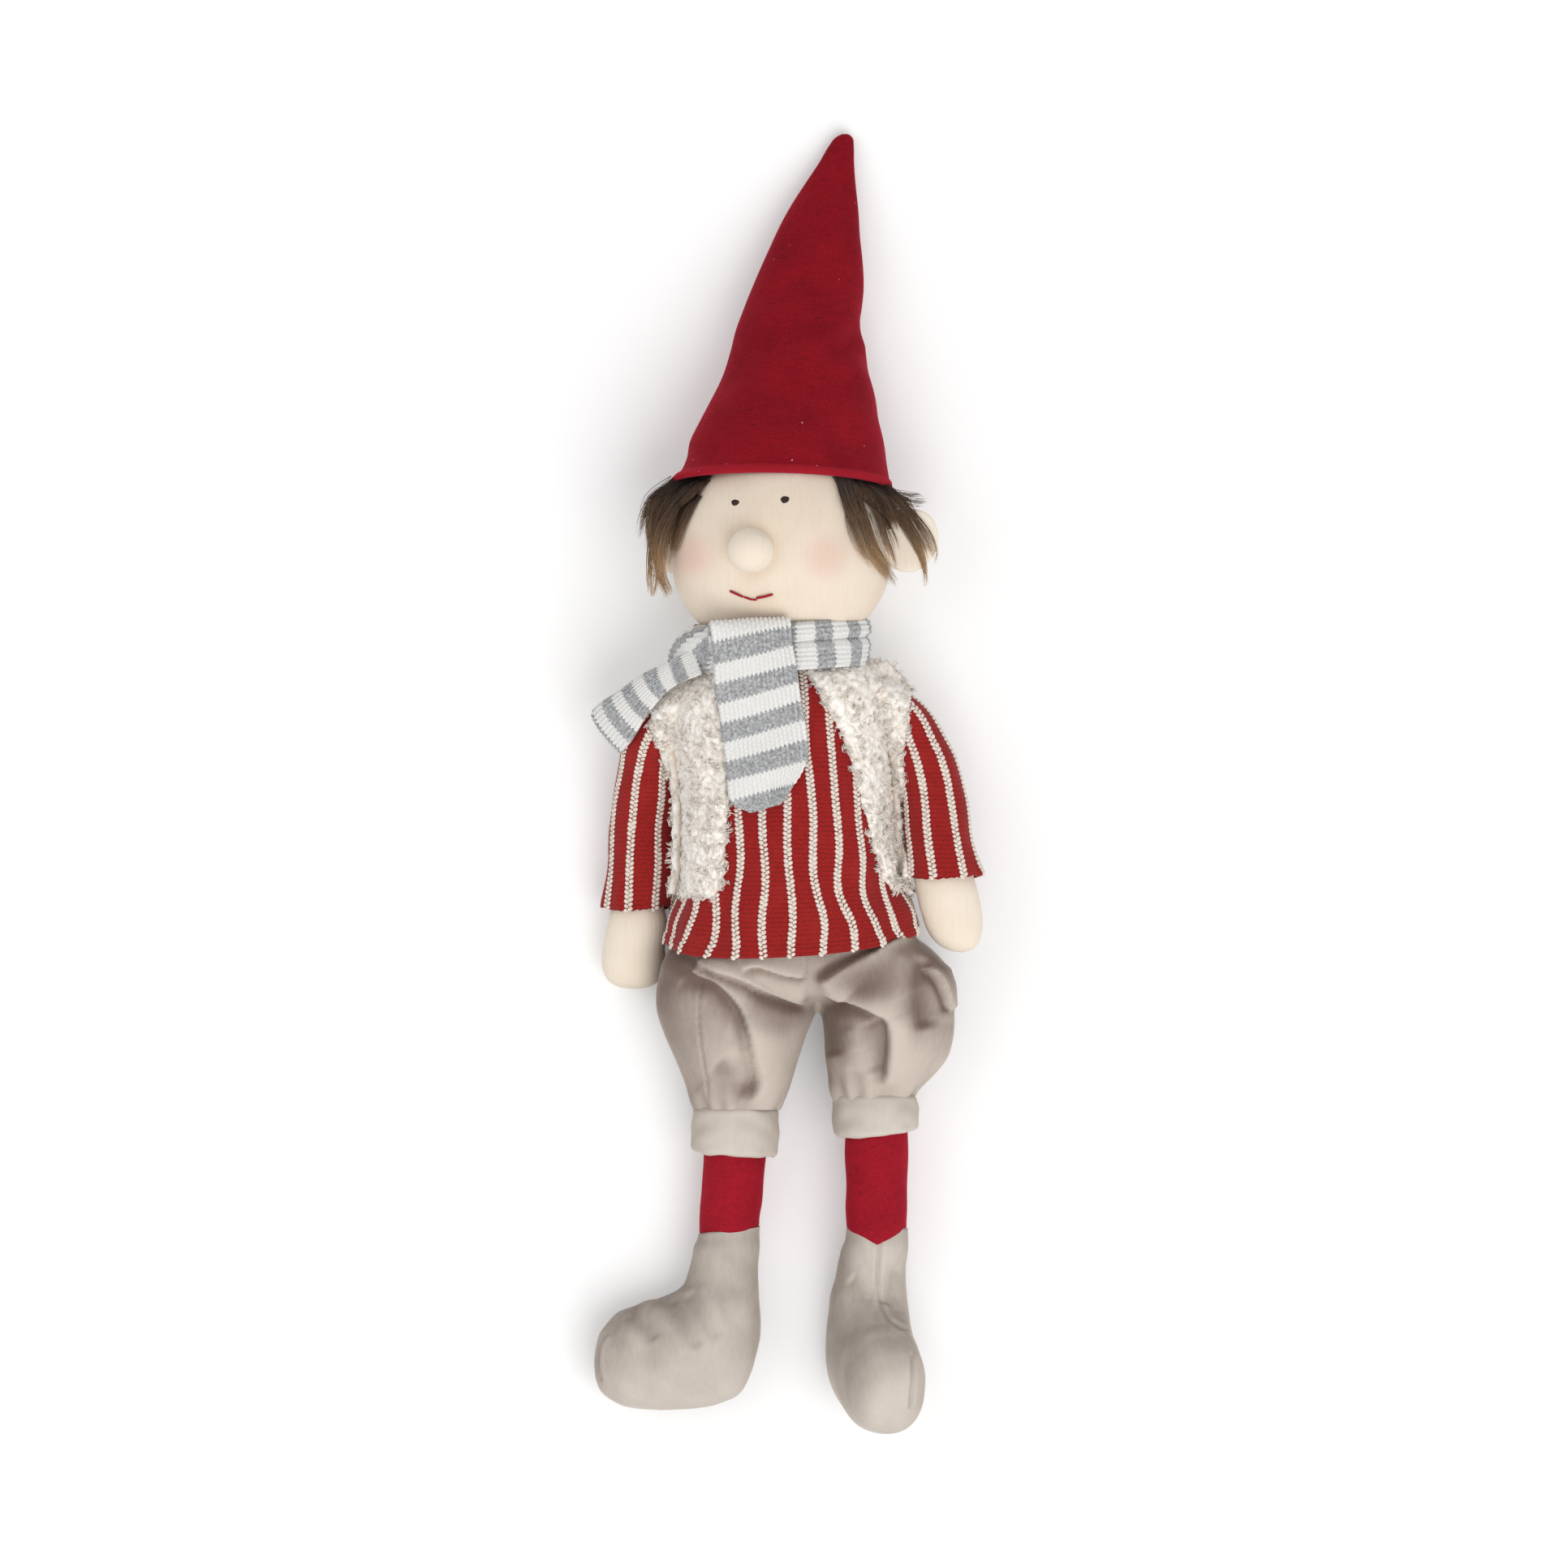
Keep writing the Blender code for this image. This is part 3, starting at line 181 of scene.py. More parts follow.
# Clothes on the body
CLEAR_OF_FLOOR = 0.0003
KNIT = 0.0018
SLEEVE_GIRTH = 0.090
BODY_GIRTH = 0.272
BACK_OF_SWEATER = 0.0055
BODY_SQUARENESS = 2.25
STRIPES_ROUND_BODY = 24
STRIPES_ROUND_SLEEVE = 8
COURSE = 0.0021
VEST_FRONTS = {
    "right": (
        (0.0560, -0.0430, -0.0300), (0.0440, -0.0560, -0.0290), (0.0350, -0.0596, -0.0282),
        (0.0230, -0.0592, -0.0260), (0.0130, -0.0560, -0.0240), (0.0000, -0.0514, -0.0246),
        (-0.0130, -0.0500, -0.0262), (-0.0300, -0.0500, -0.0275), (-0.0450, -0.0502, -0.0284),
        (-0.0516, -0.0498, -0.0290),
    ),
    "left": (
        (0.0560, 0.0060, 0.0470), (0.0490, 0.0120, 0.0545), (0.0358, 0.0196, 0.0568),
        (0.0228, 0.0270, 0.0556), (0.0116, 0.0310, 0.0540), (0.0000, 0.0342, 0.0548),
        (-0.0130, 0.0378, 0.0540), (-0.0260, 0.0410, 0.0552), (-0.0380, 0.0444, 0.0562),
        (-0.0450, 0.0474, 0.0552), (-0.0480, 0.0500, 0.0530),
    ),
}
RIB = 0.0021
SCARF_STRIPE = 0.0089
SCARF_TAIL = (
    (-0.0165, 0.0620, 0.0748), (-0.0164, 0.0700, 0.0790), (-0.0158, 0.0748, 0.0848), (-0.0146, 0.0692, 0.0892),
    (-0.0125, 0.0480, 0.0880), (-0.0104, 0.0321, 0.0860), (-0.0078, 0.0134, 0.0848), (-0.0050, -0.0098, 0.0838),
)
SCARF_SIDE = (
    (-0.0400, 0.0560, 0.0700), (-0.0485, 0.0520, 0.0668), (-0.0590, 0.0470, 0.0606), (-0.0670, 0.0400, 0.0552),
    (-0.0755, 0.0312, 0.0478), (-0.0830, 0.0230, 0.0390),
)


def colour(red, green, blue):
    """A linear colour from display values of 0 to 255."""
    shares = [value / 255 for value in (red, green, blue)]
    linear = [share / 12.92 if share <= 0.04045 else ((share + 0.055) / 1.055) ** 2.4 for share in shares]
    return (*linear, 1.0)


# Shader tools


class Wire:
    """A shader socket; arithmetic on it adds Math nodes."""

    def __init__(self, finish, socket):
        self.finish = finish
        self.socket = socket

    def maths(self, operation, first, second=0.0):
        return self.finish.node("ShaderNodeMath", {"operation": operation}, {0: first, 1: second})

    def __add__(self, other):
        return self.maths('ADD', self, other)

    __radd__ = __add__

    def __sub__(self, other):
        return self.maths('SUBTRACT', self, other)

    def __rsub__(self, other):
        return self.maths('SUBTRACT', other, self)

    def __mul__(self, other):
        return self.maths('MULTIPLY', self, other)

    __rmul__ = __mul__

    def __truediv__(self, other):
        return self.maths('DIVIDE', self, other)

    def __pow__(self, other):
        return self.maths('POWER', self, other)

    def __abs__(self):
        return self.maths('ABSOLUTE', self)

    def __gt__(self, other):
        return self.maths('GREATER_THAN', self, other)

    def wave(self):
        return self.maths('SINE', self)

    def whole(self):
        return self.maths('FLOOR', self)

    def part(self):
        return self.maths('FRACT', self)

    def between(self, low, high):
        """0 below low, 1 above high, smooth between."""
        return self.finish.node("ShaderNodeMapRange", {"interpolation_type": 'SMOOTHSTEP'},
                                {"Value": self, "From Min": low, "From Max": high})


class Finish:
    """A material with a Principled shader and the nodes that feed it."""

    def __init__(self, name, **constants):
        self.material = bpy.data.materials.new(name)
        self.material.use_nodes = True
        self.tree = self.material.node_tree
        self.shader = self.tree.nodes["Principled BSDF"]
        for key, value in constants.items():
            self.shader.inputs[key.replace("_", " ")].default_value = value

    def node(self, kind, settings=None, sockets=None, output=0):
        made = self.tree.nodes.new(kind)
        for key, value in (settings or {}).items():
            setattr(made, key, value)
        for key, value in (sockets or {}).items():
            self.feed(made.inputs[key], value)
        return Wire(self, made.outputs[output])

    def feed(self, socket, value):
        if isinstance(value, Wire):
            self.tree.links.new(value.socket, socket)
        else:
            socket.default_value = value

    def set(self, **sockets):
        for key, value in sockets.items():
            self.feed(self.shader.inputs[key.replace("_", " ")], value)
        return self.material

    def place(self, scale=(1.0, 1.0, 1.0)):
        """The piece's own coordinates in metres, scaled for a pattern."""
        spot = self.node("ShaderNodeTexCoord", output="Object")
        return self.node("ShaderNodeMapping", sockets={"Vector": spot, "Scale": scale})

    def split(self, vector):
        made = self.node("ShaderNodeSeparateXYZ", sockets={0: vector}).socket.node
        return [Wire(self, output) for output in made.outputs]

    def cloth_map(self):
        """Metres across and along the cloth, from the piece's own map."""
        return self.split(self.node("ShaderNodeUVMap", {"uv_map": "cloth"}))[:2]

    def noise(self, where, scale, detail=2.0, roughness=0.5, distortion=0.0):
        return self.node("ShaderNodeTexNoise", sockets={"Vector": where, "Scale": scale, "Detail": detail,
                                                        "Roughness": roughness, "Distortion": distortion})

    def mix(self, share, first, second):
        return self.node("ShaderNodeMix", {"data_type": 'RGBA'}, {0: share, 6: first, 7: second}, output=2)

    def bump(self, height, distance):
        return self.node("ShaderNodeBump", sockets={"Height": height, "Distance": distance, "Strength": 1.0})

    def mark(self, name):
        """A number that the piece's mesh carries at each point."""
        return self.node("ShaderNodeAttribute", {"attribute_name": name}, output="Fac")


# Finishes


def wool_finish(name, bloom, shine=0.1):
    """The plain base of a woollen finish, with a soft bloom."""
    return Finish(name, Sheen_Weight=bloom, Sheen_Roughness=0.5, Specular_IOR_Level=shine, Roughness=0.95)


def felt(name, deep, bright, fleck, hem_highlight, long_way):
    """Pressed wool: mottled colour with darker fibres that lie one way, a soft bloom, and a painted highlight
    along the rolled hem.
    """
    wool = Finish(name, Sheen_Weight=0.50, Sheen_Roughness=0.40, Sheen_Tint=colour(236, 76, 100),
                  Specular_IOR_Level=0.10, Roughness=0.95)
    spot = wool.place()
    cloud = wool.noise(wool.place((1.0, 1.4, 1.0)), 26.0, 3.0, 0.6)
    streak = wool.noise(wool.place(long_way), 1.0, 4.0, 0.65, 0.6)
    fibres = wool.noise(spot, 900.0, 3.0, 0.7)
    tone = wool.mix((cloud * 0.45 + fibres * 0.55).between(0.30, 0.70), deep, bright)
    dark = streak.between(0.50, 0.68) * fibres.between(0.40, 0.60)
    tone = wool.mix(dark * 0.55, tone, fleck)
    _, along = wool.cloth_map()
    # Painted highlight: a lighter band along the rolled hem, where it catches the light
    tone = wool.mix((1.0 - along.between(0.018, 0.028)) * 0.45, tone, hem_highlight)
    lint = wool.noise(spot, 420.0, 1.0, 0.4).between(0.795, 0.815)
    tone = wool.mix(lint * 0.7, tone, colour(226, 150, 160))
    height = fibres * 0.7 + wool.noise(spot, 300.0, 3.0, 0.6)
    return wool.set(Base_Color=tone, Normal=wool.bump(height, 0.00022))


def jersey(name, base, warm, blush=False):
    """Fine knitted cotton, with faint ribs that run up the doll."""
    cotton = Finish(name, Sheen_Weight=0.12, Sheen_Roughness=0.5, Specular_IOR_Level=0.15, Roughness=0.9)
    spot = cotton.place()
    across, along, _ = cotton.split(spot)
    ribs = (across * (2 * math.pi / 0.00085)).wave() * 0.5 + 0.5
    loops = (along * (2 * math.pi / 0.0006)).wave() * 0.5 + 0.5
    cloud = cotton.noise(spot, 38.0, 2.0, 0.5)
    lines = cotton.noise(cotton.place((900.0, 60.0, 300.0)), 1.0, 2.0, 0.5)
    tone = cotton.mix(cloud.between(0.35, 0.65) * 0.6 + lines.between(0.45, 0.7) * 0.3, base, warm)
    if blush:
        face = cotton.place((1.0, 1.0, 0.0))
        for x, y in BLUSH_AT:
            cheek = (HEAD_CENTRE[0] + x, HEAD_CENTRE[1] + y - 0.0020, 0.0)
            away = cotton.node("ShaderNodeVectorMath", {"operation": 'DISTANCE'}, {0: face, 1: cheek},
                               output="Value")
            pink = 1.0 - away.between(BLUSH_REACH * 0.15, BLUSH_REACH)
            front = cotton.split(spot)[2].between(0.045, 0.055)
            tone = cotton.mix(pink * front * 0.36, tone, colour(228, 172, 158))
    height = ribs * 0.6 + loops * 0.3 + lines * 0.8
    return cotton.set(Base_Color=tone, Normal=cotton.bump(height, 0.00010))


def velvet(name, shade, light, brushed):
    """Short-pile velvet: the nap is brushed lighter and darker in soft patches, and a mark on the piece carries
    painted light and shade.
    """
    pile = Finish(name, Sheen_Weight=0.55, Sheen_Roughness=0.32, Sheen_Tint=colour(255, 246, 238),
                  Specular_IOR_Level=0.1, Roughness=0.88)
    spot = pile.place()
    nap_and_painted_light = pile.noise(pile.place((1.0, 0.6, 1.0)), brushed, 3.0, 0.55, 0.8)
    fine = pile.noise(pile.place((1.0, 0.35, 1.0)), 520.0, 3.0, 0.6)
    # The mark is painted light and shade; the noise is the nap's own patches and the fine pile
    share = pile.mark("nap_and_painted_light") * 0.92 + nap_and_painted_light.between(0.30, 0.70) * 0.14 + fine * 0.16 - 0.12
    tone = pile.mix(share.between(0.0, 1.0), shade, light)
    height = fine * 0.8 + pile.noise(spot, 1500.0, 2.0, 0.6) * 0.5
    return pile.set(Base_Color=tone, Normal=pile.bump(height, 0.00013))


def striped_knit():
    """The red ground of the sweater: soft short bars of purl stitches with small dark dots between them."""
    wool = wool_finish("sweater_red_knit", 0.12, 0.08)
    across, along = wool.cloth_map()
    spot = wool.place()
    row = along / COURSE
    shift = row.whole() * 0.5
    bar = abs((row * math.pi).wave())
    loop = abs(((across / 0.0017 + shift) * math.pi).wave())
    fuzz = wool.noise(spot, 1400.0, 3.0, 0.7)
    cloud = wool.noise(spot, 60.0, 2.0, 0.5)
    worn = wool.noise(spot, 190.0, 2.0, 0.5)
    raised = (bar ** 0.5) * (loop * 0.5 + 0.5)
    dots = 1.0 - (bar * 0.5 + loop * 0.5).between(0.12, 0.42)
    tone = wool.mix(fuzz.between(0.3, 0.7), colour(134, 28, 28), colour(162, 39, 36))
    tone = wool.mix(dots * worn.between(0.30, 0.55), tone, colour(70, 11, 14))
    tone = wool.mix(cloud.between(0.45, 0.75) * 0.25, tone, colour(172, 48, 44))
    return wool.set(Base_Color=tone, Normal=wool.bump(raised * 0.6 + fuzz * 0.4, 0.00040))


def stitch_yarn():
    """Soft cream yarn, with twisted fibres, for the stripes of the sweater."""
    wool = wool_finish("sweater_cream_yarn", 0.25)
    fuzz = wool.noise(wool.place(), 1300.0, 3.0, 0.7)
    tone = wool.mix(fuzz.between(0.3, 0.62), colour(216, 199, 186), colour(243, 232, 221))
    return wool.set(Base_Color=tone, Normal=wool.bump(fuzz, 0.00025))


def rib_knit():
    """White and heather-grey stripes that change over on a zigzag of stitches, with painted shade down between
    the ribs.
    """
    wool = wool_finish("scarf_rib_knit", 0.25)
    across, along = wool.cloth_map()
    spot = wool.place()
    tooth = abs((across / RIB).part() - 0.5) * 2.0
    stripe = (along + tooth * 0.0014) / SCARF_STRIPE
    grey = ((stripe * 0.5).part() > 0.5)
    heather = wool.noise(spot, 1500.0, 3.0, 0.75)
    flecks = wool.noise(spot, 650.0, 2.0, 0.6)
    pale = wool.mix(heather.between(0.3, 0.7), colour(229, 227, 223), colour(249, 248, 245))
    ash = (heather * 0.5 + flecks * 0.5).between(0.40, 0.60)
    ash = wool.mix(ash, colour(146, 147, 149), colour(204, 204, 204))
    tone = wool.mix(grey, pale, ash)
    # Painted shade: darker down between the ribs, from the relief mark
    deep = 1.0 - wool.mark("relief")
    tone = wool.mix(deep * 0.34, tone, wool.mix(grey, colour(178, 176, 172), colour(112, 113, 116)))
    return wool.set(Base_Color=tone, Normal=wool.bump(heather * 0.6 + flecks, 0.00030))


def fleece():
    """Curly sheepskin-like pile, with painted brown shade down between the curls."""
    wool = wool_finish("vest_beige_fleece", 0.3)
    spot = wool.place()
    curls = wool.noise(spot, 330.0, 3.0, 0.6, 1.6)
    fuzz = wool.noise(spot, 1300.0, 3.0, 0.7)
    tone = wool.mix(curls.between(0.30, 0.60), colour(234, 224, 213), colour(255, 251, 244))
    # Painted shade: browner down between the curls, from the relief mark
    deep = 1.0 - wool.mark("relief")
    tone = wool.mix(deep.between(0.50, 1.0) * 0.5, tone, colour(198, 174, 152))
    return wool.set(Base_Color=tone, Normal=wool.bump(curls + fuzz * 0.3, 0.00042))


def fleece_curl():
    """Single fibres of the fleece: each has its own tone, with painted shade towards its root."""
    wool = wool_finish("vest_fleece_curls", 0.3)
    which, along = wool.cloth_map()
    tone = wool.mix(which, colour(242, 231, 219), colour(255, 252, 245))
    # Painted shade towards the root, down in the pile
    tone = wool.mix((1.0 - along) * 0.22, tone, colour(222, 204, 186))
    return wool.set(Base_Color=tone)


def fur():
    """Long pile: dark at the root, golden brown at the tip."""
    hair = Finish("hair_brown_pile", Sheen_Weight=0.1, Specular_IOR_Level=0.35, Roughness=0.55)
    which, along = hair.cloth_map()
    _, height, _ = hair.split(hair.place())
    drift = (0.1390 - height) / 0.042 * 0.8 + along * 0.25 - which * 0.15
    tone = hair.mix(drift.between(-0.05, 0.45), colour(56, 41, 31), colour(108, 80, 57))
    tone = hair.mix(drift.between(0.35, 0.95), tone, colour(192, 154, 110))
    tone = hair.mix(which.between(0.55, 1.0) * 0.35, tone, colour(60, 44, 33))
    return hair.set(Base_Color=tone)


def fur_backing():
    hair = Finish("hair_under_pile", Specular_IOR_Level=0.2, Roughness=0.8)
    lines = hair.noise(hair.place((1500.0, 90.0, 1500.0)), 1.0, 3.0, 0.6)
    tone = hair.mix(lines.between(0.35, 0.65), colour(42, 31, 24), colour(92, 68, 48))
    return hair.set(Base_Color=tone, Normal=hair.bump(lines, 0.0008))


def paint():
    dot = Finish("eye_dark_paint", Specular_IOR_Level=0.3, Roughness=0.55)
    weave = dot.noise(dot.place(), 1100.0, 2.0, 0.6)
    return dot.set(Base_Color=dot.mix(weave.between(0.3, 0.7), colour(38, 28, 23), colour(58, 44, 36)),
                   Normal=dot.bump(weave, 0.00015))


def thread():
    cotton = Finish("mouth_red_thread", Specular_IOR_Level=0.3, Roughness=0.6)
    across, along = cotton.cloth_map()
    twist = ((along * 14.0 + across) * (2 * math.pi)).wave() * 0.5 + 0.5
    return cotton.set(Base_Color=cotton.mix(twist, colour(150, 20, 34), colour(196, 36, 50)),
                      Normal=cotton.bump(twist, 0.0002))


# Form tools


def fair(knots, values, at):
    """Values on a smooth curve through the given ones."""
    knots, values, at = np.asarray(knots, float), np.asarray(values, float), np.asarray(at, float)
    slopes = np.gradient(values, knots, axis=0)
    here = np.clip(np.searchsorted(knots, at, side="right") - 1, 0, len(knots) - 2)
    width = knots[here + 1] - knots[here]
    t = np.clip((at - knots[here]) / width, 0.0, 1.0)
    if values.ndim > 1:
        t, width = t[..., None], width[..., None]
    return ((2 * t ** 3 - 3 * t ** 2 + 1) * values[here] + (t ** 3 - 2 * t ** 2 + t) * width * slopes[here]
            + (3 * t ** 2 - 2 * t ** 3) * values[here + 1] + (t ** 3 - t ** 2) * width * slopes[here + 1])


def smooth_step(value, low, high):
    share = np.clip((value - low) / (high - low), 0.0, 1.0)
    return share * share * (3.0 - 2.0 * share)


def settle(height, floor=0.0, softness=0.0015):
    """Heights that come down softly on to a floor instead of passing it."""
    over = height - floor
    return floor + (over + np.sqrt(over ** 2 + softness ** 2)) / 2


def rounded(turn, squareness):
    """A unit circle, or a squarer round, at shares of a turn."""
    bend = 2.0 / squareness
    c, s = np.cos(2 * math.pi * turn), np.sin(2 * math.pi * turn)
    return np.sign(c) * np.abs(c) ** bend, np.sign(s) * np.abs(s) ** bend


def even_turn(turn, wide, deep, squareness):
    """Shares of a turn that lie evenly along an oval's outline."""
    steps = np.linspace(0.0, 1.0, 721)
    c, s = rounded(steps, squareness)
    runs = np.concatenate(([0.0], np.cumsum(np.hypot(np.diff(c * wide), np.diff(s * deep)))))
    return np.interp(turn % 1.0, runs / runs[-1], steps)


def run_along(table, along):
    """The cross-section at shares of the way along a run, even in its own outline."""
    table = np.asarray(table, float)
    steps = np.hypot(np.diff(table[:, 0]), np.diff(table[:, 3]))
    knots = np.concatenate(([0.0], np.cumsum(steps)))
    return fair(knots, table, along * knots[-1])


def oval_points(table, turn, along, squareness=2.0, floor=None):
    section = run_along(table, along)
    y, x, z, wide, deep = section.T[:5]
    c, s = rounded(turn, squareness)
    across, up = np.maximum(wide, 0.0) * c, np.maximum(deep, 0.0) * s
    if floor is not None:
        up = settle(z + up, floor) - z
    if section.shape[1] > 5:
        y = y + section[:, 5] * across + section[:, 6] * up
    return np.stack([x + across, y, z + up], axis=1)


def add_object(name, mesh, material):
    piece = bpy.data.objects.new(name, mesh)
    bpy.context.scene.collection.objects.link(piece)
    mesh.shade_smooth()
    if material:
        mesh.materials.append(material)
    return piece


def cloth(name, material, columns, rows, shape_of, size=(1.0, 1.0), closed=False):
    """A grid of cloth. shape_of turns shares into points; closed sews its two sides together."""
    shape = bmesh.new()
    bmesh.ops.create_grid(shape, x_segments=columns, y_segments=rows, size=0.5)
    bmesh.ops.translate(shape, vec=(0.5, 0.5, 0.0), verts=shape.verts)
    layout = shape.loops.layers.uv.new("cloth")
    for face in shape.faces:
        for loop in face.loops:
            loop[layout].uv = (loop.vert.co.x * size[0], loop.vert.co.y * size[1])
    shares = np.array([vert.co[:2] for vert in shape.verts])
    for vert, point in zip(shape.verts, shape_of(shares[:, 0], shares[:, 1])):
        vert.co = point
    if closed:
        bmesh.ops.remove_doubles(shape, verts=shape.verts, dist=0.00002)
    mesh = bpy.data.meshes.new(name)
    shape.to_mesh(mesh)
    shape.free()
    return add_object(name, mesh, material)


def points_of(piece):
    flat = np.empty(len(piece.data.vertices) * 3)
    piece.data.vertices.foreach_get("co", flat)
    return flat.reshape(-1, 3)


def lift_to(piece, lowest):
    """Move the points of a piece that lie lower up to the lowest height."""
    points = points_of(piece)
    points[:, 2] = np.maximum(points[:, 2], lowest)
    move_points(piece, points)


def normals_of(piece):
    flat = np.empty(len(piece.data.vertices) * 3, np.float32)
    piece.data.vertex_normals.foreach_get("vector", flat)
    return flat.reshape(-1, 3).astype(float)


def move_points(piece, points):
    piece.data.vertices.foreach_set("co", np.asarray(points, np.float32).ravel())
    piece.data.update()


def press(piece, offset_of):
    """Move each point of a piece along its normal by what offset_of gives."""
    points, normals = points_of(piece), normals_of(piece)
    offset = offset_of(points, normals)
    move_points(piece, points + normals * offset[:, None])
    return offset


def mark_points(piece, name, values):
    layer = piece.data.attributes.new(name, 'FLOAT', 'POINT')
    layer.data.foreach_set("value", np.asarray(values, np.float32))


def freeze(piece):
    """Apply a piece's modifiers."""
    bpy.context.view_layer.update()
    done = bpy.data.meshes.new_from_object(piece.evaluated_get(bpy.context.evaluated_depsgraph_get()))
    piece.modifiers.clear()
    piece.data = done


def thicken(piece, thickness):
    """Give cloth a wall on its inner side."""
    wall = piece.modifiers.new("thickness", 'SOLIDIFY')
    wall.thickness = thickness
    wall.use_even_offset = False
    freeze(piece)


def rework(piece, change):
    """Change a piece's mesh with bmesh operators."""
    shape = bmesh.new()
    shape.from_mesh(piece.data)
    change(shape)
    shape.to_mesh(piece.data)
    shape.free()


def surface_of(name):
    """A finished piece's surface, for rays that look for it."""
    shape = bmesh.new()
    shape.from_mesh(bpy.data.objects[name].data)
    surface = BVHTree.FromBMesh(shape)
    shape.free()
    return surface


def straight_down(surface, x, y):
    """Where a ray straight down at x and y meets a surface, or None."""
    return surface.ray_cast(Vector((x, y, 0.2)), Vector((0, 0, -1)))[0]


def cut_plane(shape, at, way, clear=False):
    bmesh.ops.bisect_plane(shape, geom=list(shape.verts) + list(shape.edges) + list(shape.faces),
                           plane_co=at, plane_no=way, clear_outer=clear)


def grid_shares(columns, rows):
    """Shares across and along a grid of cloth, point by point."""
    across, along = np.linspace(0, 1, columns + 1), np.linspace(0, 1, rows + 1)
    return np.tile(across, rows + 1), np.repeat(along, columns + 1)


def ripple(points, size, seed):
    """A soft random unevenness about zero, with bumps of about the given size."""
    draw = np.random.RandomState(seed)
    waves = 7
    total = np.zeros(len(points))
    for _ in range(waves):
        way = draw.normal(size=3)
        way *= math.pi / size / np.linalg.norm(way) * draw.uniform(0.7, 1.3)
        total += np.sin(points @ way + draw.uniform(0, 2 * math.pi))
    return total / math.sqrt(waves)


def near_line(points, line):
    """How far points lie from a line seen straight down, their share along it, and the side they are on."""
    line = np.asarray(line, float)
    best = np.full(len(points), 9.0)
    share = np.zeros(len(points))
    side = np.zeros(len(points))
    runs = np.hypot(*np.diff(line[:, :2], axis=0).T)
    done, total = 0.0, runs.sum()
    for start, stop, run in zip(line[:-1, :2], line[1:, :2], runs):
        way = (stop - start) / run
        to = points[:, :2] - start
        t = np.clip(to @ way, 0.0, run)
        off = to - t[:, None] * way
        away = np.hypot(off[:, 0], off[:, 1])
        closer = away < best
        best = np.where(closer, away, best)
        share = np.where(closer, (done + t) / total, share)
        side = np.where(closer, np.sign(way[0] * to[:, 1] - way[1] * to[:, 0]), side)
        done += run
    return best, share, side


def smooth_line(points, cuts=6):
    """A smooth run through a few points."""
    points = np.asarray(points, float)
    knots = np.arange(len(points))
    return fair(knots, points, np.linspace(0, len(points) - 1, (len(points) - 1) * cuts + 1))


def crease(points, normals, line, depth, width, lip):
    """A sewn or folded line: it sinks by depth, with a soft lip at its sides."""
    away, share, _ = near_line(points, smooth_line(line))
    fade = smooth_step(share, 0.0, 0.12) * smooth_step(1.0 - share, 0.0, 0.12)
    front = smooth_step(normals[:, 2], 0.0, 0.25)
    sunk = -depth * np.exp(-(away / width) ** 2)
    return fade * front * (sunk + lip * np.exp(-((away - 2.2 * width) / width) ** 2))


def overhang(points, normals, line, height, low, width):
    """A fold of cloth: it stands up by height on the left of its line and drops by low on the right."""
    away, share, side = near_line(points, smooth_line(line))
    fade = smooth_step(share, 0.0, 0.18) * smooth_step(1.0 - share, 0.0, 0.10)
    front = smooth_step(normals[:, 2], -0.1, 0.3)
    raised = height * np.exp(-(away / width) ** 2)
    edge = np.exp(-(away / (width * 0.20)) ** 2)
    sunk = -low * np.exp(-(away / (width * 0.62)) ** 2) * (1.0 - edge)
    return fade * front * np.where(side > 0, raised, height * edge + sunk)


def tube_form(sides, cuts):
    """A closed tube of unit length along z, to be repeated along strands."""
    shape = bmesh.new()
    bmesh.ops.create_cone(shape, cap_ends=True, segments=sides, radius1=1.0, radius2=1.0, depth=1.0)
    bmesh.ops.translate(shape, vec=(0.0, 0.0, 0.5), verts=shape.verts)
    for cut in range(1, cuts):
        cut_plane(shape, (0.0, 0.0, cut / cuts), (0.0, 0.0, 1.0))
    return shape


def repeat_form(name, material, shape, places, marks):
    """Many copies of one small form: places gives each copy's points, marks its two map values per point."""
    points = np.array([vert.co[:] for vert in shape.verts])
    shape.verts.index_update()
    faces = [[vert.index for vert in face.verts] for face in shape.faces]
    shape.free()
    corners = np.array([corner for face in faces for corner in face])
    sizes = np.array([len(face) for face in faces])
    placed = places(points)
    count = len(placed)
    all_corners = (corners[None, :] + np.arange(count)[:, None] * len(points)).ravel()
    starts = np.concatenate(([0], np.cumsum(np.tile(sizes, count))[:-1]))
    mesh = bpy.data.meshes.new(name)
    mesh.vertices.add(count * len(points))
    mesh.vertices.foreach_set("co", placed.astype(np.float32).ravel())
    mesh.loops.add(len(all_corners))
    mesh.loops.foreach_set("vertex_index", all_corners.astype(np.int32))
    mesh.polygons.add(len(starts))
    mesh.polygons.foreach_set("loop_start", starts.astype(np.int32))
    mesh.update(calc_edges=True)
    layout = mesh.uv_layers.new(name="cloth")
    spots = marks(points).reshape(-1, 2)
    layout.data.foreach_set("uv", spots[all_corners].astype(np.float32).ravel())
    return add_object(name, mesh, material)


